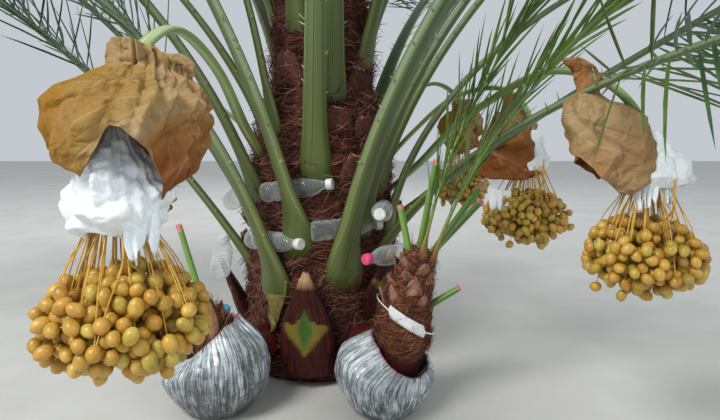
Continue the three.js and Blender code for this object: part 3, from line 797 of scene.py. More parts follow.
def makeRemnants():
    section, whole, cut = crown["section"], ([], [], []), set()
    sides, steps = len(section), remnants["steps"]
    for at, height, width, length, lean in listRemnants():
        f = newFrond(at=at, height=height, heading=at, lean=lean, tipLean=lean, width=width,
                     depth=width * remnants["depthShare"], length=length)
        points, uv = [], []
        for share, middle, along, side, up in stationsOn(f["path"], steps):
            wide = width * readAlong(remnants["taper"], share)
            deep = f["depth"] * mixed(1, 0.6, max(0, share))
            for k, (s, u) in enumerate(section):
                ragged = along * (rough(s * 8, at, height) * 0.024 * max(0, share) ** 3)
                points.append(middle + side * (s * wide) + up * (u * deep) + ragged)
                uv.append((k / sides, max(0, share) * 0.2))
        gather(whole, points, ringFaces(steps + 2, sides), uv)
        cut.add(len(whole[1]) - 1)
    piece = newPiece("old_leaf_bases", whole, "remnant", "leaf_base")
    paintFaces(keepAbove(piece), "cutWood", lambda face: face.index in cut)


# Fronds

crown = {
    "length": 2.6, "width": .092, "depthShare": .46, "bladeStart": .34, "bladeSteps": 13,
    "spray": .42, "opening": (62, 34), "rises": (34, 4, 18, -10), "turnShare": .06, "pathSteps": 80,
    "ribWidths": [(-.05, 1.15), (0, 1), (.04, .74), (.12, .62), (.34, .42), (.7, .26), (1, .09)],
    "ribDepths": [(-.05, 1.3), (0, 1), (.04, .8), (.12, .68), (.34, .52), (.7, .34), (1, .15)],
    "section": [(0, -.56), (.2, -.54), (.36, -.42), (.46, -.12), (.5, .24), (.45, .41), (.25, .46),
                (0, .42), (-.25, .46), (-.45, .41), (-.5, .24), (-.46, -.12), (-.36, -.42),
                (-.2, -.54)],  # side, up
    "perSpray": 11,  # leaflets on each side for one spray of the solid
    "leafletWidth": .017,
    "hanging": (12, 16), "hangingSag": .5, "early": (0, 7, 8, 13, 14, 15), "earlyStart": .27,
}
seenFronds = [  # at, height, heading, lean, tipLean, bend, width, swing
    (-121, .27, -160, 12, 92, .9, .11, 0), (-104, .42, -165, 12, 62, 1, .108, 0),
    (-71, .33, -30, 10, 90, 1, .118, 0), (-91, .64, -80, 5, 80, 1.3, .1, 0),
    (-74, .85, -85, 6, 70, 1.3, .084, 0), (-29, .95, -20, 13, 70, 1.3, .08, 0),
    (-114, 1.05, -110, 5, 70, 1.3, .076, 0), (-150, .56, -168, 18, 105, 1, .092, 0),
    (-168, .47, -170, 24, 100, 1, .06, 0), (-54, .448, -25, 12, 110, 1, .06, 0),
    (-38, .57, -15, 18, 110, 1, .064, 0), (-23, .404, -15, 3, 130, .75, .062, 0),
    (-38, .372, -50, 36, 115, .7, .052, -30), (195, .33, -165, 32, 100, 1.3, .07, 0),
    (188, .78, 185, 24, 100, .9, .072, 0), (-130, .74, -175, 8, 80, 1.3, .066, 0),
    (-6, .455, -42, 54, 83, 1.2, .056, 0)]
hiddenFronds = {"first": .36, "step": .026, "firstAt": 40, "seenFrom": -200, "width": .092,
                "ranks": (3, 8, 11, 13, 16, 19, 21, 24, 26, 27, 29, 32, 34)}
plainFrond = {"length": crown["length"], "bend": 1, "swing": 0, "sag": 0, "spray": crown["spray"],
              "steps": crown["bladeSteps"], "bladeStart": crown["bladeStart"], "opening": crown["opening"],
              "leafletWidth": crown["leafletWidth"], "kinds": (0, 0, 1, 1, 2)}
heelShare = -0.05  # the heel of a stalk, sunk in the trunk


def directionAt(lean, heading):
    l, h = math.radians(lean), math.radians(heading)
    along = Vector((math.sin(l) * math.cos(h), math.sin(l) * math.sin(h), math.cos(l)))
    side = Vector((-math.sin(h), math.cos(h), 0))
    up = Vector((-math.cos(l) * math.cos(h), -math.cos(l) * math.sin(h), math.sin(l)))
    return along, side, up


def directionOn(f, share):
    turn = wrappedDegrees(f["heading"] - f["at"])
    heading = f["at"] + turn * min(1, share / crown["turnShare"]) + f["swing"] * share
    return directionAt(mixed(f["lean"], f["tipLean"], share ** f["bend"]), heading)


def frondPath(f):
    at = math.radians(f["at"])
    out = Vector((math.cos(at), math.sin(at), 0))
    if "base" in f:
        base = Vector(f["base"])
    else:
        base = out * (trunkRadius(f["height"], at) + f["depth"] * 0.2) + Vector((0, 0, f["height"]))
    heel = base - out * f["depth"] * 1.1 - Vector((0, 0, f["depth"] * 1.6))
    path = [(heelShare, heel, directionAt(35, f["at"]))]
    steps = crown["pathSteps"]
    point = base.copy()
    for i in range(steps + 1):
        path.append((i / steps, point.copy(), directionOn(f, i / steps)))
        point += directionOn(f, (i + 0.5) / steps)[0] * f["length"] / steps
    return path


# A frond from its own settings, and the plain frond's where it has none
def newFrond(**settings):
    f = {"depth": settings["width"] * crown["depthShare"], **plainFrond, **settings}
    return {**f, "path": frondPath(f)}


def placeOn(path, share):
    steps = len(path) - 2
    place = min(max(share, 0), 0.99999) * steps
    low = int(place)
    (_, start, startFrame), (_, end, endFrame) = path[1 + low], path[2 + low]
    local = place - low
    return mixed(start, end, local), *[mixed(u, v, local).normalized() for u, v in zip(startFrame, endFrame)]


# Places along a stalk, from its heel: share, middle, along, side, up
def stationsOn(path, steps):
    yield heelShare, path[0][1], *path[0][2]
    for i in range(steps + 1):
        yield i / steps, *placeOn(path, i / steps)


def listFronds():
    fronds = []
    keys = ("at", "height", "heading", "lean", "tipLean", "bend", "width", "swing")
    for number, row in enumerate(seenFronds):
        sag = crown["hangingSag"] if number in crown["hanging"] else 0
        start = crown["earlyStart"] if number in crown["early"] else crown["bladeStart"]
        fronds.append(newFrond(**dict(zip(keys, row)), sag=sag, bladeStart=start))
    h = hiddenFronds
    for k in h["ranks"]:
        height = h["first"] + h["step"] * k
        at = (h["firstAt"] + goldenDegrees * k - h["seenFrom"]) % 360 + h["seenFrom"]
        rise = (height - h["first"]) / (trunk["height"] - h["first"])
        fronds.append(newFrond(at=at, height=height, heading=at, lean=mixed(26, 14, rise), width=h["width"],
                               tipLean=mixed(106, 62, rise), length=crown["length"] * mixed(1, 0.82, rise)))
    return fronds


def ribWidth(f, share):
    return f["width"] * readAlong(crown["ribWidths"], share)


# The ribs of several fronds as one piece: each is a swept section that widens to clasp the trunk
def makeRibs(name, fronds, skinKey, nodes):
    section, whole = crown["section"], ([], [], [])
    for f in fronds:
        points, uv = [], []
        for share, middle, (_, side, up) in f["path"]:
            wide, deep = ribWidth(f, share), f["depth"] * readAlong(crown["ribDepths"], share)
            for k, (s, u) in enumerate(section):
                points.append(middle + side * (s * wide) + up * (u * deep))
                uv.append((k / len(section), max(0, share)))
        gather(whole, points, ringFaces(len(f["path"]), len(section)), uv)
    newPiece(name, whole, skinKey, "frond", *nodes)


# A leaflet lies along X, one unit long and one unit wide, folded to a V, and droops by its kind
def leafletShape(droop, curl):
    stations = [(0.04, 0.5), (0.2, 0.95), (0.5, 1.0), (0.78, 0.66)]  # place, breadth
    points = [Vector((0, 0, 0))]
    for place, wide in stations:
        fall, aside, half = -droop * place ** 2, curl * place ** 2, wide / 2
        for y, z in ((half * 0.88, half * 0.7), (0, 0.05), (-half * 0.88, half * 0.7), (0, -0.07)):
            points.append(Vector((place, y * leafletUnit + aside, z * leafletUnit + fall)))
    points.append(Vector((1, curl, -droop)))
    faces = []
    for side in range(4):
        after = (side + 1) % 4
        faces.append((0, 1 + after, 1 + side))
        for low in range(1, 1 + (len(stations) - 1) * 4, 4):
            faces.append((low + side, low + after, low + 4 + after, low + 4 + side))
        last = len(points) - 5
        faces.append((last + side, last + after, last + 4))
    return points, faces


leafletUnit = 0.06  # a leaflet shape's own width, in lengths
leafletShapes = family("leaflet", [leafletShape(0.02, 0.0), leafletShape(0.07, 0.03),
                                   leafletShape(0.14, -0.04), leafletShape(0.30, 0.05)],
                       sharp=lambda a, b: abs(a.x - b.x) > 0.01)


def spineShape():
    points = [Vector((0, east * 0.05, north * 0.05)) for _, east, north in ringTurns(4)]
    points += [Vector((0.55, p.y * 0.55, p.z * 0.55 + 0.03)) for p in points] + [Vector((1, 0, 0.1))]
    faces = ringFaces(2, 4, closeEnd=False) + [(4, 5, 8), (5, 6, 8), (6, 7, 8), (7, 4, 8)]
    return points, faces


spineShapes = family("spine", [spineShape()])

# Spaces that no leaflet may cross: middle and half size of the covers, fruit and wrapped balls
softSpaces = []


def blocked(point):
    if point.z < 0.03:
        return True
    if point.z < trunk["height"] and math.hypot(point.x, point.y) < trunkRadius(point.z, 0) + 0.015:
        return True
    return any(sum(((point[i] - middle[i]) / half[i]) ** 2 for i in range(3)) < 1.05
               for middle, half in softSpaces)


# The turn of a shape that lies along one direction with its upper side to another
def lyingAlong(aim, face):
    across = face.cross(aim).normalized()
    return tuple(Matrix((aim, across, aim.cross(across))).transposed().to_euler())


def leafletSpots(f, chance, tints, perSpray, spots):
    steps = f["steps"] * perSpray
    for i in range(steps):
        tint = chance.choice(tints) if i % perSpray == 0 else tint
        share = (i + 0.5) / steps
        rib = mixed(f["bladeStart"], 1, share)
        middle, along, side, up = placeOn(f["path"], rib)
        reach = f["spray"] * (0.42 + 0.58 * math.sin(math.pi * min(1, share + 0.12) ** 0.8))
        for number, hand in enumerate((1, -1)):
            rank = crown["rises"][(i + number) % 4]
            opening = math.radians(mixed(*f["opening"], share) + chance.uniform(-5, 5))
            rise = math.radians(rank + chance.uniform(-7, 7))
            length = reach * chance.uniform(0.84, 0.99)
            aim = (along * math.cos(opening) + side * (math.sin(opening) * math.cos(rise) * hand)
                   + up * (math.sin(opening) * math.sin(rise)))
            aim = (aim + Vector((0, 0, -1)) * f["sag"] * chance.uniform(0.6, 1.2)).normalized()
            root = middle + side * (hand * ribWidth(f, rib) * 0.42)
            if any(blocked(root + aim * length * part) for part in (0.35, 0.7, 1)):
                continue
            breadth = f["leafletWidth"] / leafletUnit * chance.uniform(0.8, 1.15)
            breadth *= mixed(0.4, 1, min(1, share / 0.4))
            spots[tint].append((tuple(root), lyingAlong(aim, up - along * 0.35), (length, breadth, breadth),
                                chance.choice(f["kinds"])))


spineRow = {"count": 9, "from": .06, "to": .34, "span": .28, "lengths": (.014, .052), "width": .055}


def spineSpots(f, chance, spots):
    count, first, last, width = [spineRow[key] for key in ("count", "from", "to", "width")]
    for i in range(count):
        for hand in (1, -1):
            share = mixed(first, last, min(1, (i + chance.uniform(0, 1.2)) / count))
            middle, along, side, up = placeOn(f["path"], share)
            aim = along * chance.uniform(0.4, 0.9) + side * hand + up * chance.uniform(-0.1, 0.6)
            length = mixed(*spineRow["lengths"], (share - first) / spineRow["span"])
            length *= chance.uniform(0.6, 1.2)
            root = middle + side * (hand * ribWidth(f, share) * 0.46)
            spots.append((tuple(root), lyingAlong(aim.normalized(), up), (length, width, width), 0))


# Cut leaf bases

boots = {
    "boot_front": {"at": -96, "height": .04, "lean": 3, "width": .168, "depth": .084, "length": .3},
    "boot_right": {"at": -46, "height": .215, "lean": 20, "width": .12, "depth": .05, "length": .19},
    "boot_left": {"at": -172, "height": .15, "lean": 24, "width": .092, "depth": .05, "length": .2},
}
husk = {
    "taper": [(-.05, .85), (0, .88), (.1, .94), (.2, .98), (.31, 1), (.45, .91), (.56, .8), (.68, .62),
              (.82, .4), (.94, .2), (1, .08)],
    "tongue": [(.31, 0), (.36, .13), (.42, .24), (.5, .25), (.57, .15), (.65, 0)],  # share, half width
    "lobes": [(.22, 0), (.27, .2), (.34, .4), (.4, .62), (.46, .78), (.51, .72), (.54, .3), (.57, 0)],
    "frill": .012, "sides": 44, "steps": 60,
}


# How olive and how green a place of a husk is: lobes that narrow upwards round a tongue, by half widths
def huskTints(share, s, across, at):
    notch = 0.05 * noise.fractal(Vector((s * 5, share * 9, at)), 0.8, 2.0, 3)
    tongue = readAlong(husk["tongue"], share + notch * 0.5) - across * (1 + notch)
    lobe = readAlong(husk["lobes"], share + notch) - across * (1 + 3 * notch)
    olive = min(1, max(0, 0.42 + lobe * 2.6)) if 0.2 < share < 0.6 else 0
    green = min(1, max(0, 0.42 + tongue * 5)) if 0.28 < share < 0.68 else 0
    return olive, green


def makeBoots():
    sides, steps = husk["sides"], husk["steps"]
    for name, b in boots.items():
        f = newFrond(**b, heading=b["at"], tipLean=b["lean"])
        points, uv, tints = [], [], []
        for share, middle, along, side, up in stationsOn(f["path"], steps):
            wide = b["width"] * readAlong(husk["taper"], share)
            deep = b["depth"] * mixed(1, 0.2, max(0, share))
            ragged = husk["frill"] * max(0, share - 0.8) / 0.2
            for k in range(sides):
                turn = 2 * math.pi * k / sides - math.pi / 2
                s, u = math.cos(turn), math.sin(turn)
                s = math.copysign(abs(s) ** 0.75, s)
                outer = u < 0.1
                keel = 1 + (0.16 if u < 0 else 0) * math.exp(-(s / 0.18) ** 2)
                spot = middle + side * (s * wide * 0.49) + up * (u * deep * 0.5 * keel)
                ripple = rough(s * 9, share * 3, b["at"]) * 0.005
                pleat = 0.003 * zigzag(s * 3.5 + 0.4 * rough(s * 2, share * 4, 5))
                lift = (ripple + pleat * (1 - max(0, share))) if outer else 0
                spot += along * (ragged * rough(k * 0.9, share * 20, 3)) - up * lift
                spot.z = max(spot.z, 0.0)
                points.append(spot)
                uv.append((k / sides, max(0, share)))
                across = abs(s) * readAlong(husk["taper"], share)  # in half widths of the foot
                tints.append(huskTints(share, s, across, b["at"]) if outer else (0, 0))
        olive, green = zip(*tints)
        newPiece(name + "_husk", (points, ringFaces(steps + 2, sides), uv), "husk", "leaf_base", name,
                 values={"olive": olive, "green": green})


# Smooth ways through a few points, in even steps
def smoothWay(points, steps):
    knots = [Vector(p) for p in points]
    knots = [knots[0] * 2 - knots[1]] + knots + [knots[-1] * 2 - knots[-2]]
    fine = []
    for p0, p1, p2, p3 in zip(knots, knots[1:], knots[2:], knots[3:]):
        t1 = max((p1 - p0).length, 1e-6) ** 0.5
        t2 = t1 + max((p2 - p1).length, 1e-6) ** 0.5
        t3 = t2 + max((p3 - p2).length, 1e-6) ** 0.5
        for k in range(24):
            t = mixed(t1, t2, k / 24)
            a1, a2 = mixed(p0, p1, t / t1), mixed(p1, p2, (t - t1) / (t2 - t1))
            a3 = mixed(p2, p3, (t - t2) / (t3 - t2))
            b1, b2 = mixed(a1, a2, t / t2), mixed(a2, a3, (t - t1) / (t3 - t1))
            fine.append(mixed(b1, b2, (t - t1) / (t2 - t1)))
    fine.append(knots[-2])
    gone = np.concatenate([[0], np.cumsum([(b - a).length for a, b in zip(fine, fine[1:])])])
    marks = np.linspace(0, gone[-1], steps + 1)
    table = np.array([tuple(p) for p in fine])
    return [Vector([np.interp(m, gone, table[:, i]) for i in range(3)]) for m in marks]


# A tube of changing width and depth; relief(share, turn) may swell its skin
def tubeMesh(way, widths, depths, sides, steps, relief=None):
    spots = smoothWay(way, steps)
    points, uv = [], []
    for i, spot in enumerate(spots):
        share = i / steps
        forward = (spots[min(steps, i + 1)] - spots[max(0, i - 1)]).normalized()
        side = Vector((0, 0, 1)).cross(forward)
        side = side.normalized() if side.length > 0.05 else Vector((1, 0, 0))
        up = forward.cross(side)
        wide, deep = readAlong(widths, share) / 2, readAlong(depths, share) / 2
        for k, (turn, east, north) in enumerate(ringTurns(sides)):
            grow = relief(share, turn) if relief else 0
            points.append(spot + side * ((wide + grow) * east) + up * ((deep + grow) * north))
            uv.append((k / sides, share))
    return points, ringFaces(steps + 1, sides), uv


# Bunches

bunches = [
    {"way": [(-.17, -.084, .64), (-.212, -.19, .75), (-.228, -.4, .88), (-.238, -.65, .938),
             (-.226, -.88, .891), (-.226, -1.01, .8), (-.226, -1.04, .7), (-.226, -1.04, .608)],
     "fruit": (.254, .232, .172), "drop": .146, "middle": (-.21, -1.036, .742), "size": (.262, .196, .25),
     "fleece": (.18, .15, .128), "dates": 370, "tints": (8, 2, 3, 0)},
    {"way": [(.17, .03, .5), (.268, 0, .59), (.322, -.076, .65), (.366, -.23, .722), (.428, -.42, .8),
             (.545, -.602, .868), (.64, -.69, .826), (.704, -.724, .72), (.704, -.724, .628)],
     "fruit": (.24, .226, .168), "drop": .139, "middle": (.636, -.712, .694), "size": (.19, .156, .196),
     "fleece": (.146, .12, .11), "dates": 330, "tints": (8, 3, 2, 1)},
    {"way": [(.15, .11, .56), (.3, .07, .735), (.43, 0, .85), (.56, -.13, .866), (.618, -.19, .79),
             (.624, -.194, .72), (.624, -.194, .632)],
     "fruit": (.268, .24, .169), "drop": .142, "middle": (.574, -.16, .742), "size": (.196, .146, .2),
     "fleece": (.15, .11, .112), "dates": 340, "tints": (5, 4, 1, 3)},
    {"way": [(.11, .15, .65), (.26, .26, .84), (.42, .4, .93), (.53, .5, .87), (.548, .52, .74),
             (.548, .52, .65)],
     "fruit": (.256, .236, .19), "drop": .124, "middle": (.548, .518, .765), "size": (.2, .17, .23),
     "dates": 270, "tints": (6, 3, 2, 2)},
    {"way": [(-.16, .12, .62), (-.33, .21, .79), (-.56, .33, .9), (-.72, .41, .85), (-.746, .424, .73),
             (-.746, .424, .64)],
     "fruit": (.256, .236, .19), "drop": .126, "middle": (-.742, .422, .772), "size": (.21, .18, .22),
     "dates": 270, "tints": (6, 3, 3, 1)},
]
stalkWidths = [(0, .04), (.3, .03), (1, .026)]
stalkDepths = [(0, .018), (.3, .014), (1, .018)]
dateSize = {"width": .0218, "apart": .0224, "hollow": .42, "singles": 7}
fruitBell = [(-1, .66), (-.6, .95), (-.25, 1), (.3, .95), (.7, .84), (1, .66)]  # height, breadth
strands = {"count": 46, "hem": .5, "hemReach": .07, "radius": (.0015, .001), "rise": .06, "steps": 9}
dateTints = ("dateGold", "dateGreen", "dateOrange", "dateBrown")


# A round shape along Z: its top point, rings of radius and level, and its foot
def roundShape(sides, top, rings, foot):
    points = [Vector((0, 0, top))]
    for wide, level in rings:
        points += [Vector((wide * east, wide * north, level)) for _, east, north in ringTurns(sides)]
    points.append(Vector((0, 0, foot)))
    corners = [(k, (k + 1) % sides) for k in range(sides)]
    last = 1 + (len(rings) - 1) * sides
    faces = [(0, 1 + k, 1 + after) for k, after in corners]
    for low in range(1, last, sides):
        faces += [(low + k, low + sides + k, low + sides + after, low + after) for k, after in corners]
    return points, faces + [(last + k, len(points) - 1, last + after) for k, after in corners]


# A plump oval with a slightly pointed free end
def dateShape(stretch, belly, rings=5):
    found = []
    for ring in range(1, rings + 1):
        turn = math.pi * ring / (rings + 1)
        level = math.cos(turn)
        found.append((math.sin(turn) * 0.5 * (1 + belly * level), level * 0.5 * stretch))
    return roundShape(10, 0.5 * stretch, found, -0.53 * stretch)


dateShapes = family("date", [dateShape(1.22, 0.06), dateShape(1.10, -0.05), dateShape(1.28, 0.02)])
capShapes = family("datecap", [roundShape(6, 0.60, [(0.16, 0.55), (0.22, 0.46), (0.1, 0.44)], 0.42)])


# How far out in its mass a place lies: 1 on the skin of the bell that the dates fill
def fruitReach(spots, half):
    breadth = readMany(fruitBell, spots[:, 2] / half[2])
    east, north, up = [spots[:, axis] / half[axis] for axis in range(3)]
    parts = np.stack([east / breadth, north / breadth, up])
    return (np.abs(parts) ** 2.7).sum(0) ** (1 / 2.7)


# Spreads the dates through the mass so that they touch and hardly sink into each other
def packDates(b, foot, seed):
    chance = np.random.default_rng(seed)
    half = np.array(b["fruit"]) / 2 - dateSize["width"] * 0.5
    spots = chance.uniform(-1, 1, (b["dates"] * 6, 3)) * half
    reach = fruitReach(spots, half)
    spots = spots[(reach < 1) & (reach > dateSize["hollow"])][:b["dates"]]
    for _ in range(70):
        gaps = spots[:, None] - spots[None]
        far = np.linalg.norm(gaps, axis=2) + 1e-9
        push = np.clip(dateSize["apart"] - far, 0, None) / far
        np.fill_diagonal(push, 0)
        spots = spots + (gaps * push[:, :, None]).sum(1) * 0.3
        spots /= np.clip(fruitReach(spots, half), 1, None)[:, None]
    for n in range(dateSize["singles"]):
        turn = goldenAngle * n + seed
        out = 0.50 + 0.3 * (n % 3) / 2
        spots[n] = [math.cos(turn) * half[0] * out, math.sin(turn) * half[1] * out, -half[2]]
    return spots + np.array(foot) - np.array([0, 0, b["drop"]])


def makeDates():
    tints = {key: [] for key in dateTints}
    caps, ways = [], []
    for number, b in enumerate(bunches):
        foot = b["way"][-1]
        chance = random.Random(900 + number)
        spots = packDates(b, foot, 60 + number)
        for spot in spots:
            place = Vector(spot)
            pull = (Vector(foot) + Vector((0, 0, 0.02)) - place).normalized()
            tilt = Vector([chance.gauss(0, 0.75) for _ in range(3)])
            turn = (pull + tilt).normalized().to_track_quat("Z", "Y").to_euler()
            size = dateSize["width"] * chance.uniform(0.9, 1.08)
            key = chance.choices(dateTints, b["tints"])[0]
            entry = (tuple(place), tuple(turn), (size,) * 3)
            tints[key].append((*entry, chance.randrange(3)))
            caps.append((*entry, 0))
        ways += fruitStrands(Vector(foot), spots, chance)
    for key, entries in tints.items():
        finished(dealt("dates_" + key[4:].lower(), entries, dateShapes, skins[key]), "fruit",
                 *[f"bunch_{n + 1}" for n in range(len(bunches))])
    finished(dealt("date_caps", caps, capShapes, skins["cap"]), "fruit")
    finished(corded("fruit_strands", ways, skins["strand"]), "fruit")


# Thin yellow strands: they leave the stalk inside the fleece, fan out at its hem and end among the dates
def fruitStrands(foot, spots, chance):
    ways = []
    ends = [Vector(spots[n]) for n in range(dateSize["singles"])]
    ends += [Vector(spots[chance.randrange(len(spots))]) for _ in range(strands["count"])]
    for number, end in enumerate(ends):
        out = Vector((end.x - foot.x, end.y - foot.y, 0))
        top = foot + out * 0.12 + Vector((0, 0, strands["rise"]))
        hem = foot + out * strands["hem"]
        if (hem - foot).length > strands["hemReach"]:
            hem = foot + out.normalized() * strands["hemReach"]
        hem.z = foot.z - 0.018
        if number % 9 == 8:  # a few run together in a straight bundle at the front
            top = foot + Vector((0.026, -0.052, strands["rise"] * 0.5)) + out * 0.01
            hem = top - Vector((0, 0, 0.080)) + out * 0.05
        middles = smoothWay([top, hem, mixed(hem, end, 0.5) + out * 0.05, end], strands["steps"])
        ways.append([(spot, mixed(*strands["radius"], k / strands["steps"]))
                     for k, spot in enumerate(middles)])
    return ways


def makeStalks():
    for number, b in enumerate(bunches):
        newPiece(f"fruit_stalk_{number + 1}", tubeMesh(b["way"], stalkWidths, stalkDepths, 14, 60),
                 "peduncle", "fruit_stalk", f"stalk_{number + 1}")


# Crumpled sheets

# Sharp folds of crumpled paper: how far they lift each place, and how near it is to a ridge or a valley,
# where the paper's painted highlight and painted shade go
def foldsAt(spots, folds, seed):
    flat = spots.reshape(-1, 3)
    drift = np.array([noise.noise_vector(Vector(s) * 6 + Vector((seed, seed, 0))) for s in flat])
    fade = np.array([noise.noise(Vector(s) * 9 + Vector((0, seed, seed))) for s in flat])
    lift, ridge, valley = np.zeros((3, len(flat)))
    for n in range(folds["count"]):
        turn, dip = goldenAngle * (n + seed), math.sin(2.4 * n + seed)
        along = np.array([math.cos(turn) * math.cos(dip), math.sin(turn) * math.cos(dip), math.sin(dip)])
        coarser = 0.7 + 0.28 * n
        wave = np.abs((flat + drift * folds["drift"]) @ along / (folds["length"] * coarser) % 1 * 2 - 1)
        strength = np.clip(0.6 + 1.4 * fade * (1 if n % 2 else -1), 0.12, 1.2)
        lift += (wave - 0.5) * folds["depth"] * coarser * strength
        ridge = np.maximum(ridge, np.clip(wave * 14 - 13, 0, 1) * strength)
        valley = np.maximum(valley, np.clip(1 - wave * 12, 0, 1) * strength)
    return [part.reshape(spots.shape[:-1]) for part in (lift, np.clip(ridge, 0, 1), np.clip(valley, 0, 1))]


# A cover runs from the throat of its collar over rim, neck and dome to its hem, and back up inside. Angles
# are in degrees round its middle, -90 facing the camera, and heights and radii are shares of its size.
covers = [
    {"sides": 270, "rows": 190, "neck": .86,
     "neckRadius": [(-180, .4), (-130, .36), (-90, .4), (-40, .47), (0, .52), (50, .62), (90, .8),
                    (130, .62), (180, .4)],
     "wall": .022, "corner": 2, "turned": 0,
     "hem": [(-180, .42), (-160, .38), (-135, .32), (-112, .27), (-104, .235), (-96, .31), (-90, .385),
             (-87, .46), (-83, .5), (-76, .487), (-69, .43), (-62, .375), (-57, .27), (-48, .12), (-44, .09),
             (-34, .14), (-15, .23), (0, .35), (30, .2), (90, .12), (150, .27), (180, .42)],
     "dome": [(0, .66), (.2, .9), (.35, .98), (.5, 1), (.64, .95), (.72, .84), (.79, .64), (.86, .45)],
     "spread": [(-180, .9), (-140, .91), (-100, .98), (-50, .9), (0, .79), (90, .95), (180, .9)],
     "rim": [(-180, .97), (-120, 1), (-90, .99), (-50, .97), (0, .94), (60, .94), (90, .93), (180, .97)],
     "rimRadius": [(-180, .4), (-120, .36), (-60, .36), (0, .38), (50, .55), (90, .8), (130, .55),
                   (180, .4)],
     "shift": (.012, .036), "pleatCount": 21, "pleatReach": .42,
     "pleats": [(-180, .3), (-125, .2), (-98, .4), (-80, 1), (-40, 1), (12, .8), (45, .5), (180, .3)],
     "pleatDepth": .15, "slant": 34,
     "laps": [(-140, -104, .085), (-74, -50, .07)],
     "folds": {"count": 5, "length": .06, "depth": .016, "drift": .034},
     "calm": [(-180, .5), (-140, .38), (-108, .5), (-84, .9), (60, 1), (150, .7), (180, .5)],
     "highTint": [(-180, .05), (-128, 0), (-112, .16), (-80, .24), (-60, .3), (-30, .55), (30, .6),
                  (100, .3), (180, .05)],
     "lowTint": [(-180, .1), (-125, .04), (-100, .2), (-72, .65), (-55, 1), (0, .95), (60, .8), (120, .3),
                 (180, .1)], "collar": .34},
    {"sides": 190, "rows": 150, "neck": 1.13, "neckRadius": .26, "wall": .03, "corner": 3, "turned": 18,
     "hem": [(-180, .5), (-150, .46), (-130, .34), (-112, .2), (-95, .11), (-78, .1), (-62, .17), (-40, .26),
             (-15, .36), (20, .4), (60, .3), (90, .2), (130, .36), (180, .5)],
     "dome": [(0, .48), (.12, .62), (.3, .8), (.6, .85), (.85, .82), (1, .64), (1.08, .43), (1.13, .26)],
     "spread": 1,
     "rim": [(-180, 1.42), (-130, 1.45), (-100, 1.36), (-70, 1.26), (-40, 1.22), (30, 1.22), (90, 1.38),
             (180, 1.42)],
     "rimRadius": [(-180, .5), (-60, .38), (60, .36), (180, .5)],
     "shift": (-.045, .03), "pleatCount": 13, "pleatReach": .4,
     "pleats": [(-180, .6), (-90, .5), (-40, .4), (60, .6), (180, .6)], "pleatDepth": .1, "slant": 12,
     "laps": [(-40, -34, .05), (-128, -118, .035)],
     "folds": {"count": 5, "length": .066, "depth": .0115, "drift": .024},
     "calm": .8,
     "highTint": [(-180, .6), (-150, .46), (-50, .44), (-38, .12), (-10, .12), (40, .4), (180, .6)],
     "lowTint": [(-180, .8), (-140, .5), (-60, .47), (-38, .15), (0, .2), (180, .8)], "collar": .66},
    {"sides": 150, "rows": 120, "neck": .86, "neckRadius": .26, "wall": .03, "corner": 2.4, "turned": 0,
     "hem": [(-180, -.14), (-130, -.19), (-90, -.22), (-60, -.2), (-40, -.17), (-20, -.13), (0, -.04),
             (30, .12), (90, .15), (180, -.14)],
     "dome": [(-.45, .92), (0, .98), (.3, .88), (.55, .74), (.7, .56), (.86, .28)],
     "spread": [(-180, 1.05), (-60, 1), (0, .8), (90, 1), (180, 1.05)],
     "rim": [(-180, 1.1), (-60, 1.02), (60, 1.06), (180, 1.1)],
     "rimRadius": [(-180, .42), (0, .36), (180, .42)],
     "shift": (.01, .01), "pleatCount": 13, "pleatReach": .5,
     "pleats": [(-180, .5), (-90, .5), (0, .6), (180, .5)], "pleatDepth": .1, "slant": 14,
     "laps": [(-52, -44, .05)],
     "folds": {"count": 5, "length": .07, "depth": .0115, "drift": .024},
     "calm": .8,
     "highTint": [(-180, .9), (-60, .85), (-35, .5), (20, .5), (180, .9)],
     "lowTint": [(-180, 1), (-60, .98), (-35, .6), (20, .6), (180, 1)], "collar": .8},
]
backCover = {
    **covers[0], "sides": 180, "rows": 140, "wall": .03, "shift": (.01, 0),
    "hem": [(-180, .2), (-120, .02), (-60, .1), (-10, .3), (40, .1), (90, 0), (140, .25), (180, .2)],
    "rim": [(-180, 1), (-90, .96), (0, 1), (90, .96), (180, 1)],
    "pleats": [(-180, .7), (-60, .4), (60, .8), (180, .7)], "laps": [(60, 70, .05)], "pleatCount": 17,
}
fineFolds = {"count": 4, "length": .026, "depth": .0042, "drift": .02}
coverBands = {"throat": .09, "collar": .12, "dome": .57, "inside": .22}  # each with its share of the rows


# The rows of a cover as (radius, height, inside) for every angle at once
def coverRows(plan, degrees):
    keys = ("hem", "rim", "rimRadius", "neckRadius")
    hem, rim, flare, narrow = [readMany(plan[key], degrees) for key in keys]
    wall, neck, found = plan["wall"], plan["neck"], []
    top = neck - .06
    for band, part in coverBands.items():
        count = int(plan["rows"] * part)
        for step in range(count):
            share = step / count
            if band == "throat":
                found.append((mixed(.12, flare - wall, share), mixed(neck - .03, rim, share), 1.0))
            elif band == "collar":
                radius = mixed(flare, narrow, math.sin(share * math.pi / 2) ** 0.8)
                found.append((radius, mixed(rim, neck, share), 0.0))
            elif band == "dome":
                height = mixed(neck, hem, share ** 0.9)
                near = np.clip(1 - (neck - height) / 0.14, 0, 1) ** 2
                found.append((mixed(readMany(plan["dome"], height), narrow, near), height, 0.0))
            else:
                height = mixed(hem, top, share)
                shut = 1 - share ** 8
                found.append(((readMany(plan["dome"], height) - wall) * shut + .12 * (1 - shut), height, 1.0))
    found.append((.10, top, 1.0))
    return [np.array([np.broadcast_to(row[n], degrees.shape) for row in found]) for n in range(3)]


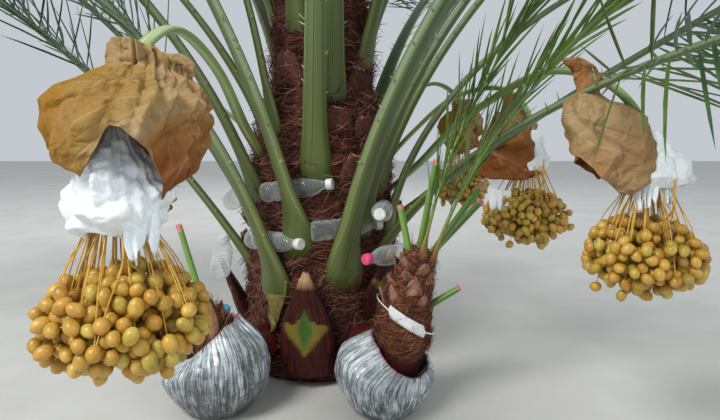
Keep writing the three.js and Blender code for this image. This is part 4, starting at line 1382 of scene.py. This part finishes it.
def makeCover(number, b, plan):
    seed = number + 1
    middle, size = np.array(b["middle"]), np.array(b["size"])
    turns = np.arange(plan["sides"]) * 2 * np.pi / plan["sides"]
    east, north = np.cos(turns), np.sin(turns)
    degrees = np.degrees(wrapped(turns))
    read = {key: readMany(plan[key], degrees) for key in ("pleats", "spread", "calm", "highTint", "lowTint")}
    radius, height, inner = coverRows(plan, degrees)
    down = np.clip(plan["neck"] - height, 0, 1)
    ruffle, drift = [np.array([[rough(math.cos(t) * wide, math.sin(t) * wide, h * rise + seed)
                                for t, h in zip(turns, line)] for line in height])
                     for wide, rise in ((1.5, 1.5), (3.4, 0.6))]
    pleatTurn = degrees + plan["slant"] * down + 16 * ruffle + 22 * drift
    pleat = zigzag(pleatTurn * plan["pleatCount"] / 360) * (0.65 + 0.9 * drift)
    fade = read["pleats"] * np.exp(-(down / plan["pleatReach"]) ** 2)
    swell = read["spread"] * (1 + plan["pleatDepth"] * pleat * fade + 0.09 * ruffle)
    lapped = np.zeros_like(radius)
    for high, low, depth in plan["laps"]:
        past = degrees - mixed(high, low, np.clip(down / 0.7, 0, 1))
        edge = np.clip(-past / 3, 0, 1) * np.clip(down * 6, 0, 1)
        lapped += depth * np.exp(np.minimum(past, 0) / 20) * edge
    angle, power = turns + math.radians(plan["turned"]), plan["corner"]
    square = (np.abs(np.cos(angle)) ** power + np.abs(np.sin(angle)) ** power) ** (-1 / power)
    climb = np.clip((height - 0.45) / (plan["neck"] - 0.45), 0, 1) ** 1.5

    def placed(reach):
        share = reach * swell + lapped
        x = middle[0] + east * share * square * size[0] / 2 + plan["shift"][0] * climb
        y = middle[1] + north * share * square * size[1] / 2 + plan["shift"][1] * climb
        return np.stack([x, y, middle[2] + (height - 0.5) * size[2]], -1)

    sheet = placed(radius + plan["wall"] * inner)  # both walls fold as one sheet
    lift, ridge, valley = foldsAt(sheet, plan["folds"], seed)
    lift = lift + foldsAt(sheet, fineFolds, seed + 3)[0]
    calm = read["calm"] * np.clip(radius * 3 - 0.3, 0, 1)
    outward = np.stack([east + 0 * height, north + 0 * height, 0.5 * (height - 0.4)], -1)
    outward /= np.linalg.norm(outward, axis=-1)[..., None]
    spots = placed(radius) + outward * (lift * calm)[..., None]
    # The tint tables turn the paper darker orange-brown lower down and on the sides turned from the light:
    # partly painted shade over the paper's own ochre and tan
    tint = mixed(read["highTint"], read["lowTint"], np.clip((0.62 - height) / 0.4, 0, 1))
    tint = mixed(tint, plan["collar"], np.clip((height - plan["neck"] + 0.03) * 20, 0, 1))
    # The nearness to fold ridges and valleys and the inside share carry the paper's painted highlight and
    # painted shade
    values = {"crease": (ridge * calm).ravel(), "valley": (valley * calm).ravel(), "inner": inner.ravel(),
              "tint": np.clip(tint + 0.12 * ruffle, 0, 1).ravel()}
    faces = [tuple(reversed(face)) for face in ringFaces(len(height), plan["sides"])]
    newPiece(f"paper_cover_{number + 1}", (spots.reshape(-1, 3), faces), "paper", "paper",
             f"cover_{number + 1}", values=values)


def makeCovers():
    for number, b in enumerate(bunches):
        makeCover(number, b, covers[number] if number < len(covers) else backCover)


# A thin closed sheet: placeAt(across, down) gives its middle surface
def sheetMesh(placeAt, columns, rows, thickness):
    middle = np.array([[placeAt(i / columns, j / rows) for i in range(columns + 1)] for j in range(rows + 1)])
    facing = np.cross(np.gradient(middle, axis=1), np.gradient(middle, axis=0))
    facing /= np.linalg.norm(facing, axis=-1)[..., None] + 1e-12
    count = (columns + 1) * (rows + 1)
    points = np.concatenate([(middle + facing * thickness / 2).reshape(-1, 3),
                             (middle - facing * thickness / 2).reshape(-1, 3)])
    faces = []
    for j in range(rows):
        for i in range(columns):
            a, b = j * (columns + 1) + i, j * (columns + 1) + i + 1
            c, d = b + columns + 1, a + columns + 1
            faces += [(a, b, c, d), (count + d, count + c, count + b, count + a)]
    rim = [(0, i) for i in range(columns)] + [(j, columns) for j in range(rows)]
    rim += [(rows, i) for i in range(columns, 0, -1)] + [(j, 0) for j in range(rows, 0, -1)]
    rim = [j * (columns + 1) + i for j, i in rim]
    for a, b in zip(rim, rim[1:] + rim[:1]):
        faces.append((b, a, count + a, count + b))
    return points, faces


# The fleece on each bunch: how far it reaches to each side by height, and the strips that hang from it
fleeces = [
    {"left": [(0, .4), (.06, .66), (.12, .76), (.24, .8), (.36, .62), (.46, .42), (.56, .28), (.7, .2),
              (.94, .14), (1, .14)],
     "right": [(0, .48), (.1, .64), (.2, .66), (.3, .8), (.41, .9), (.5, .74), (.59, .58), (.76, .38),
               (.9, .19), (1, .15)],
     "back": [(0, .6), (.2, .95), (.4, 1), (.6, .72), (.76, .42), (.94, .2), (1, .18)],
     "front": [(0, .7), (.2, 1), (.4, 1), (.6, .88), (.76, .7), (.9, .45), (1, .25)],
     "low": -.02, "high": .006, "puff": .021,
     "strips": [((.028, -.06, .02), (.072, -.03, .02), .076, 2)]},  # first, last, length, tips
    {"left": [(0, .85), (.3, .85), (.6, .6), (1, .2)],
     "right": [(0, .8), (.06, 1.08), (.2, 1.02), (.5, .8), (.8, .45), (1, .15)],
     "back": [(0, .8), (.2, .95), (.5, .75), (.8, .4), (1, .2)],
     "low": .002, "high": 0, "puff": .014,
     "strips": [((-.045, -.03, .01), (0, -.046, .01), .058, 4),
                ((.012, -.04, .01), (.046, -.01, .012), .048, 3)]},
    {"left": [(0, .7), (.3, .8), (.6, .6), (1, .2)],
     "right": [(0, .5), (.15, .66), (.4, .7), (.7, .52), (.9, .34), (1, .2)],
     "back": [(0, .7), (.2, .95), (.5, .8), (.8, .5), (1, .2)],
     "front": [(0, .45), (.2, .5), (.5, .4), (.8, .3), (1, .2)],
     "low": -.01, "high": 0, "puff": .013,
     "strips": [((-.125, -.02, -.078), (-.06, -.036, -.084), .06, 3)]},
]
fleeceWall = {"sides": 170, "rows": 100, "outer": .72, "inner": .28, "thickness": .0016}


# Puffed cloth: round bulges with sharp valleys between them
def puffs(spot, seed):
    broad, small, fine = [abs(noise.noise(spot * size + Vector(aside))) for size, aside in
                          ((17, (seed, 0, 0)), (41, (0, seed, 0)), (95, (0, 0, seed)))]
    return 1.5 * broad + 0.55 * small + 0.2 * fine - 0.35


# A strip of fleece that hangs from the stalk's end in torn tips
def hangingStrip(foot, number, first, last, length, tips):
    first, last = Vector(first), Vector(last)

    def placeAt(a, d):
        torn = 0.12 * rough(a * 9, number, 4)
        fall = length * (0.74 + 0.22 * math.sin(a * tips * math.pi + 0.6) + torn)
        wave = math.sin(a * tips * 2 * math.pi + number) * 0.007 * (0.3 + 0.7 * d)
        narrow = mixed(first, last, 0.5) - mixed(first, last, a)
        spot = foot + mixed(first, last, a) + narrow * (0.35 * d * d)
        spot = spot + Vector((0, wave - 0.004 * d, 0.022 - d * (fall + 0.022)))
        return tuple(spot + noise.noise_vector(spot * 24) * 0.003)

    return sheetMesh(placeAt, 36, 30, fleeceWall["thickness"])


def makeFleeces():
    sides, rows, outer, inner = [fleeceWall[key] for key in ("sides", "rows", "outer", "inner")]
    for number, plan in enumerate(fleeces):
        b, seed = bunches[number], 20 + number
        foot, size = Vector(b["way"][-1]), Vector(b["fleece"])
        bottom, tall = foot.z + plan["low"], size.z + plan["high"] - plan["low"]
        points = []
        for row in range(rows + 1):
            place = row / rows
            height = 1 - place / outer if place < outer else (place - outer) / inner * 0.3
            shut = 1 if place < outer else mixed(0.96, 0.10, (place - outer) / inner)
            for _, east, south in ringTurns(sides):
                side = readAlong(plan["right" if east > 0 else "left"], height)
                ahead = readAlong(plan.get("front", plan["back"]) if south < 0 else plan["back"], height)
                reach = mixed(ahead, side, abs(east) ** 1.6) * shut
                ruffle = rough(east * 2.2, south * 2.2, seed + height * 0.9)
                gathered = 1 - 2 * abs(rough(east * 5, south * 5, seed + height * 1.2)) / 0.5
                spread = reach * (1 + 0.20 * ruffle + 0.09 * gathered * (0.3 + height))
                drop = 0.12 * (1 - height) * rough(east * 2.4, south * 2.4, seed)
                spot = Vector((foot.x + east * spread * size.x / 2, foot.y + south * spread * size.y / 2,
                               bottom + (height + drop) * tall))
                soft = puffs(spot, seed) * plan["puff"] * min(1, reach * 1.5)
                points.append(spot + Vector((east, south, 0.35)).normalized() * soft)
        whole = (points, [tuple(reversed(face)) for face in ringFaces(rows + 1, sides)])
        for strip, settings in enumerate(plan["strips"]):
            gather(whole, *hangingStrip(foot, strip, *settings))
        newPiece(f"fleece_wrap_{number + 1}", whole, "fleece", "fleece", f"fleece_{number + 1}")


# Offshoots

offshoots = {
    "right": {"stem": [(.12, -.19, .11), (.19, -.39, .092), (.228, -.432, .17), (.246, -.438, .3),
                       (.284, -.436, .44)],
              "widths": [(0, .11), (.45, .128), (.55, .124), (.6, .142), (.72, .132), (.86, .104), (1, .07)],
              "shaggyFrom": .56, "stubWidth": .024,
              "stubs": [[(.262, -.446, .38), (.226, -.44, .554)],
                        [(.276, -.42, .41), (.321, -.414, .668)],
                        [(.29, -.44, .4), (.433, -.44, .607)],
                        [(.28, -.416, .39), (.444, -.392, .56)],
                        [(.262, -.436, .262), (.384, -.436, .338)]],
              "ball": ((.192, -.424, .112), (.262, .25, .226)),
              "rim": [(-180, .97), (-137, .86), (-115, .7), (-90, .6), (-66, .54), (-40, .54), (-10, .58),
                      (30, .72), (90, .9), (180, .97)],
              "throat": (.232, -.446), "throatRadius": .058, "veil": .75,
              "leaves": [{"base": (.284, -.47, .424), "at": -80, "heading": -4, "lean": 10, "tipLean": 66,
                          "bend": 1.2, "length": 1.15},
                         {"base": (.313, -.46, .424), "at": -30, "heading": -23, "lean": 17, "tipLean": 68,
                          "bend": 1, "length": 1.05}]},
    "left": {"stem": [(-.15, -.17, .11), (-.236, -.37, .11), (-.256, -.43, .19), (-.27, -.44, .262),
                      (-.284, -.446, .32)],
             "widths": [(0, .11), (.5, .12), (.68, .104), (.84, .07), (1, .022)],
             "shaggyFrom": .62,
             "stubs": [[(-.262, -.436, .21), (-.334, -.45, .505)]], "stubWidth": .023,
             "ball": ((-.258, -.424, .127), (.282, .264, .256)),
             "rim": [(-180, .62), (-150, .6), (-120, .66), (-90, .8), (-50, .96), (0, 1), (60, .96),
                     (120, .8), (180, .62)],
             "throat": (-.262, -.434), "throatRadius": .056, "veil": .1, "leaves": []},
}
youngLeaf = {"width": .024, "spray": .25, "steps": 12, "bladeStart": .1, "leafletWidth": .012,
             "kinds": (0, 0, 0, 1), "opening": (38, 20)}
ball = {"filmSides": 320, "filmRows": 110, "mossSides": 120, "mossRows": 60, "crinkle": .0042, "lip": .12,
        "ridges": [(4.5, 1.6, 2.4, .9), (14, 2.6, 2.6, .7), (32, 5, 2.2, .3)]}  # across, along, sharp, height
flakes = {"right": {"count": 20, "from": .74, "to": .95, "width": (.034, .06), "length": (.02, .044)},
          "left": {"count": 9, "from": .66, "to": .74, "width": (.03, .046), "length": (.06, .11)}}
blade = {"start": (-.246, -.47, .17), "end": (-.292, -.492, .325), "width": .056, "thickness": .006,
         "shape": [(0, .8), (.4, 1), (.7, .9), (1, .45)]}
sheath = {"at": -119, "radius": .268, "top": .305, "tip": .15, "curl": .016, "clasp": .008,
          "thickness": .003, "shape": [(0, .044), (.3, .038), (.65, .02), (1, .006)]}
stemPattern = (.4, .6)  # how often the fibre pattern runs round and along a stem
tag = {"middle": (.2445, -.438, .268), "stemRadius": .0705, "clear": .0048, "label": 1.2, "width": .032,
       "strap": .004, "tilt": -.62, "facing": -92, "thickness": .0012}


# The shaggy stem of an offshoot, smooth and dark at its foot, with two coats of fibre above
def makeStem(name, o):
    seed, start, seam = len(name), o["shaggyFrom"], o["shaggyFrom"] * stemPattern[1]

    def shaggy(share, turn):
        lump = rough(math.cos(turn) * 3, math.sin(turn) * 3, share * 14 + seed)
        weave = rough(turn * 6 + share * 30, share * 60, seed)
        return min(1, max(0, (share - start) / 0.03)) * (0.004 * lump + 0.0026 * weave)

    points, faces, uv = tubeMesh(o["stem"], o["widths"], o["widths"], 64, 130, shaggy)
    uv = [(u * stemPattern[0], v * stemPattern[1]) for u, v in uv]
    stem = newPiece(f"offshoot_{name}_fibre_stem", (points, faces, uv), "stemMat", "offshoot_fibre",
                    f"offshoot_{name}_stem")
    paintFaces(stem, "mouth", lambda face: all(uv[v][1] < seam for v in face.vertices))
    coated = partOf(stem, "upper_part", lambda face: all(uv[v][1] > seam for v in face.vertices))
    layFibres(coated, f"offshoot_{name}", "offshoot_fibre",
              [("stemFibre", 7000, (0.3, 2.8)), ("stemPale", 3200, (0.9, 2.3))], 0.22, 0.62)
    discard(coated)


def makeStubs(name, o):
    wide = o["stubWidth"]
    widths, depths = [(0, wide * 1.25), (.2, wide), (1, wide)], [(0, wide * .8), (1, wide * .66)]
    for number, ends in enumerate(o["stubs"]):
        shape = tubeMesh(ends, widths, depths, 14, 18)
        piece = newPiece(f"offshoot_{name}_cut_stalk_{number + 1}", shape, "youngStalk", "offshoot_fibre")
        paintFaces(piece, "cutTip", lambda face, uv=shape[2]: all(uv[v][1] > 0.93 for v in face.vertices))


# Dry papery leaf bases that clasp the stem: each a small curled shield that stands off at its tip
def makeFlakes(name, o):
    whole, plan, chance = ([], []), flakes[name], random.Random(31)
    way = smoothWay(o["stem"], 100)
    for number in range(plan["count"]):
        share = mixed(plan["from"], plan["to"], (number + 0.5) / plan["count"])
        at = goldenAngle * number + 0.6
        width, length = chance.uniform(*plan["width"]), chance.uniform(*plan["length"])
        out = Vector((math.cos(at), math.sin(at), 0))
        side = Vector((-out.y, out.x, 0))
        base = way[int(share * 100)] + out * (readAlong(o["widths"], share) / 2 - 0.001)

        def placeAt(a, d):
            across = (a - 0.5) * 2
            wide = width / 2 * (1 - d ** 2.2) ** 0.7 + 0.001
            ragged = 0.012 * rough(a * 7, length * 90, 3.0) * d
            spot = base + side * (across * wide) + out * (0.008 * d ** 2 - 0.008 * across ** 2 + 0.002)
            return tuple(spot + Vector((0, 0, d * length + ragged)))

        gather(whole, *sheetMesh(placeAt, 14, 16, 0.0022))
    newPiece(f"offshoot_{name}_leaf_flakes", whole, "flake", "offshoot_fibre")


# A ball of moss in clear film: open round the stem, gathered towards its mouth, flat on the ground
def makeBall(name, o):
    middle, size = Vector(o["ball"][0]), Vector(o["ball"][1])
    throat, seed = o["throat"], len(name)

    def throatAt(east, north, share, level):
        reach = [side * o["throatRadius"] * share for side in (east, north)]
        return Vector((throat[0] + reach[0], throat[1] + reach[1], level))

    for label, grow, least in (("moss", -0.004, 0.004), ("film", 0.001, 0.0008)):
        sides, rows = ball[label + "Sides"], ball[label + "Rows"]
        points, uv, rims, veils = [], [], [], []
        for row in range(rows + 1):
            part = row / rows * (1 + ball["lip"])
            share, tuck = min(1, part), max(0, part - 1) / ball["lip"]
            draw = max(0, (share - 0.72) / 0.28) ** 2
            for k in range(sides):
                turn = 2 * math.pi * k / sides + math.pi / 2
                east, north = math.cos(turn), math.sin(turn)
                rim = readAlong(o["rim"], math.degrees(wrapped(turn)))
                height = share * rim
                bulge = max(0.3, math.sin(math.pi * mixed(0.10, 0.90, height)) ** 0.55)
                lump = rough(east * 1.6, north * 1.6, height * 2.5 + seed)
                spread = bulge * mixed(1, 0.92, height ** 1.6) * (1 + 0.07 * lump)
                spot = middle + Vector((east * (spread * size.x / 2 + grow),
                                        north * (spread * size.y / 2 + grow), size.z * (height - 0.5)))
                spot = mixed(spot, throatAt(east, north, 1.12, spot.z + 0.004), draw * 0.86)
                if tuck:
                    level = min(middle.z + size.z * (rim - 0.5), middle.z) - 0.02
                    spot = mixed(spot, throatAt(east, north, 0.6, level), tuck)
                rise = ball["crinkle"] * sum(
                    most * (1 - abs(rough(east * wide, north * wide, share * long + seed)) * sharp)
                    for wide, long, sharp, most in ball["ridges"])
                outward = Vector((east, north, (height - 0.5) * 1.2)).normalized()
                spot += outward * (rise * ((0.5 + 0.7 * share) * (1 - tuck)))
                spot.z = max(spot.z, least)
                points.append(spot)
                uv.append((k / sides * 2, share))
                rims.append(max(0, 1 - abs(part - 1) * 30))
                veils.append(mixed(o["veil"], 1, min(1, share / 0.7)))
        newPiece(f"root_ball_{name}_{label}", (points, ringFaces(rows + 1, sides), uv), label, "root_wrap",
                 f"offshoot_{name}_root_ball", values={"rim": rims, "veil": veils})


def makeOffshoots():
    for name, o in offshoots.items():
        for step in (makeStem, makeStubs, makeFlakes, makeBall):
            step(name, o)
    leaves = [newFrond(**youngLeaf, **leaf) for o in offshoots.values() for leaf in o["leaves"]]
    makeRibs("offshoot_leaf_ribs", leaves, "youngStalk",
             [f"offshoot_right_leaf_{n + 1}" for n in range(len(leaves))])
    return leaves


# The green base of a cut leaf that leans out over the left ball
def makeBlade():
    start, end = Vector(blade["start"]), Vector(blade["end"])

    def placeAt(a, d):
        across = (a - 0.5) * 2
        wide = blade["width"] / 2 * readAlong(blade["shape"], d)
        ragged = 0.010 * rough(a * 6, 1.5, 2.0) * d ** 4
        return tuple(mixed(start, end, d + ragged * 6) + Vector((across * wide, 0.012 * across ** 2, ragged)))

    newPiece("offshoot_left_green_base", sheetMesh(placeAt, 18, 24, blade["thickness"]), "olive", "frond")


# A torn sheath that hangs from the foot of the left frond over the trunk, its tip curling away
def makeSheath():
    at = math.radians(sheath["at"])
    out = Vector((math.cos(at), math.sin(at), 0))
    side = Vector((-out.y, out.x, 0))

    def placeAt(a, d):
        across = (a - 0.5) * 2
        wide = readAlong(sheath["shape"], d)
        ragged = 0.018 * rough(a * 4, d * 5, 6) * d
        away = sheath["radius"] + sheath["curl"] * d * d - sheath["clasp"] * across ** 2
        level = mixed(sheath["top"], sheath["tip"], d) + ragged
        return tuple(out * away + side * (across * wide + ragged) + Vector((0, 0, level)))

    newPiece("torn_sheath", sheetMesh(placeAt, 20, 30, sheath["thickness"]), "sheath", "leaf_base")


# A bare label on a thin strap round the right stem
def makeTag():
    middle, radius = Vector(tag["middle"]), tag["stemRadius"] + tag["clear"]

    def placeAt(a, d):
        turn = (a - 0.5) * 2 * math.pi
        ease = min(1, max(0, (tag["label"] / 2 - abs(turn)) / 0.05 + 1))
        wide = mixed(tag["strap"], tag["width"], ease)
        angle = turn + math.radians(tag["facing"])
        tall = tag["tilt"] * radius * math.sin(turn)
        return (middle.x + math.cos(angle) * radius, middle.y + math.sin(angle) * radius,
                middle.z + tall + (0.5 - d) * wide)

    newPiece("blank_tag", sheetMesh(placeAt, 160, 4, tag["thickness"]), "tag", "paper")


# A profile of place and radius turned round the way from one point towards another
def turnedMesh(profile, sides, start, end, wave=0.0):
    axis = (end - start).normalized()
    across = axis.orthogonal().normalized()
    other = axis.cross(across)
    points = []
    for place, radius in profile:
        for turn, east, north in ringTurns(sides):
            r = max(radius, 0.0005) * (1 + wave * math.sin(5 * turn + place * 40))
            points.append(start + axis * place + across * (r * east) + other * (r * north))
    return points, ringFaces(len(profile), sides)


def makeBottles():
    long, wide, cap = bottle["length"], bottle["capRadius"], bottle["capLength"]
    lid = [(long - cap, 0), (long - cap, wide), (long - cap + .002, wide), (long - cap + .003, wide * 1.04),
           (long - .002, wide * 1.04), (long, wide * 0.93), (long, 0)]
    for number, (neck, foot, capKey) in enumerate(bottles):
        top = Vector(neck)
        start = top - (top - Vector(foot)).normalized() * long
        newPiece(f"bottle_{number + 1}", turnedMesh(bottle["profile"], 32, start, top, bottle["dent"]),
                 "bottle", None)
        newPiece(f"bottle_cap_{number + 1}", turnedMesh(lid, 24, start, top), capKey, None, smooth=False)


# The heart: young fronds round a spear of folded ones

heart = {"count": 5, "firstAt": 20, "off": .03, "rise": .07, "spearTop": 2.5, "spears": 11,
         "spearWidths": [(0, .044), (.2, .036), (.5, .02), (1, .003)],
         "frond": {"length": 1.5, "lean": 9, "tipLean": 44, "bend": 1.1, "width": .04, "spray": .3,
                   "steps": 6}}


def makeHeart():
    young = []
    for i in range(heart["count"]):
        at = heart["firstAt"] + goldenDegrees * i
        a = math.radians(at)
        base = (heart["off"] * math.cos(a), heart["off"] * math.sin(a), trunk["height"] + heart["rise"])
        young.append(newFrond(**heart["frond"], at=at, heading=at, base=base))
    makeRibs("heart_ribs", young, "youngStalk", ["heart"])
    whole, widths = ([], [], []), heart["spearWidths"]
    foot = trunk["height"] - 0.01
    for i in range(heart["spears"]):
        turn = goldenAngle * i
        off = 0.0 if i == 0 else 0.012 + 0.016 * (i % 3)
        tall = heart["spearTop"] - foot - 0.06 * i
        way = [(math.cos(turn) * off * lean, math.sin(turn) * off * lean, foot + tall * share)
               for lean, share in ((0.6, 0), (1, 0.5), (0.5, 1))]
        gather(whole, *tubeMesh(way, widths, [(a, w * 0.7) for a, w in widths], 8, 24))
    newPiece("heart_spear", whole, "youngStalk", "frond", "heart")
    return young


def makeLeaflets(fronds, leaves, young, nodes):
    spots, spines = {"deep": [], "blue": [], "olive": [], "young": []}, []
    chance = random.Random(4)
    for f in fronds:
        leafletSpots(f, chance, ("deep", "deep", "blue", "blue", "olive"), crown["perSpray"], spots)
        spineSpots(f, chance, spines)
    for f in leaves:
        leafletSpots(f, chance, ("young", "young", "olive"), 5, spots)
    for f in young:
        leafletSpots(f, chance, ("young", "olive"), 8, spots)
    for key, entries in spots.items():
        finished(dealt("leaflets_" + key, entries, leafletShapes, skins[key], 0.05, 0.35, 5), "frond",
                 *(["heart"] if key == "young" else nodes))
    finished(dealt("frond_spines", spines, spineShapes, skins["spine"], 0.2, 0.4, 6), "frond")


# The run

fronds = listFronds()
frondNodes = [f"frond_{n + 1:02d}" for n in range(len(fronds))]
for b in bunches:
    softSpaces.append((b["middle"], [v / 2 + 0.01 for v in b["size"]]))
    softSpaces.append((Vector(b["way"][-1]) - Vector((0, 0, b["drop"])), [v / 2 + 0.015 for v in b["fruit"]]))
for o in offshoots.values():
    softSpaces.append((o["ball"][0], [v / 2 + 0.01 for v in o["ball"][1]]))

bark = makeTrunk(fronds)
layFibres(bark, "trunk", "bark",
          [("darkFibre", 2100, (0.9, 2.3)), ("paleFibre", 1600, (1.1, 2.05))], 0.45, 1.15)
makeRemnants()
print("trunk ready")

makeBoots()
makeRibs("frond_ribs", fronds, "stalk", frondNodes)
leaves = makeOffshoots()
print("ribs and offshoots ready")

makeLeaflets(fronds, leaves, makeHeart(), frondNodes)
print("leaflets ready")

for makePieces in (makeStalks, makeDates, makeCovers, makeFleeces,
                   makeTag, makeBlade, makeSheath, makeBottles):
    makePieces()
print("fruit, covers and bottles ready")
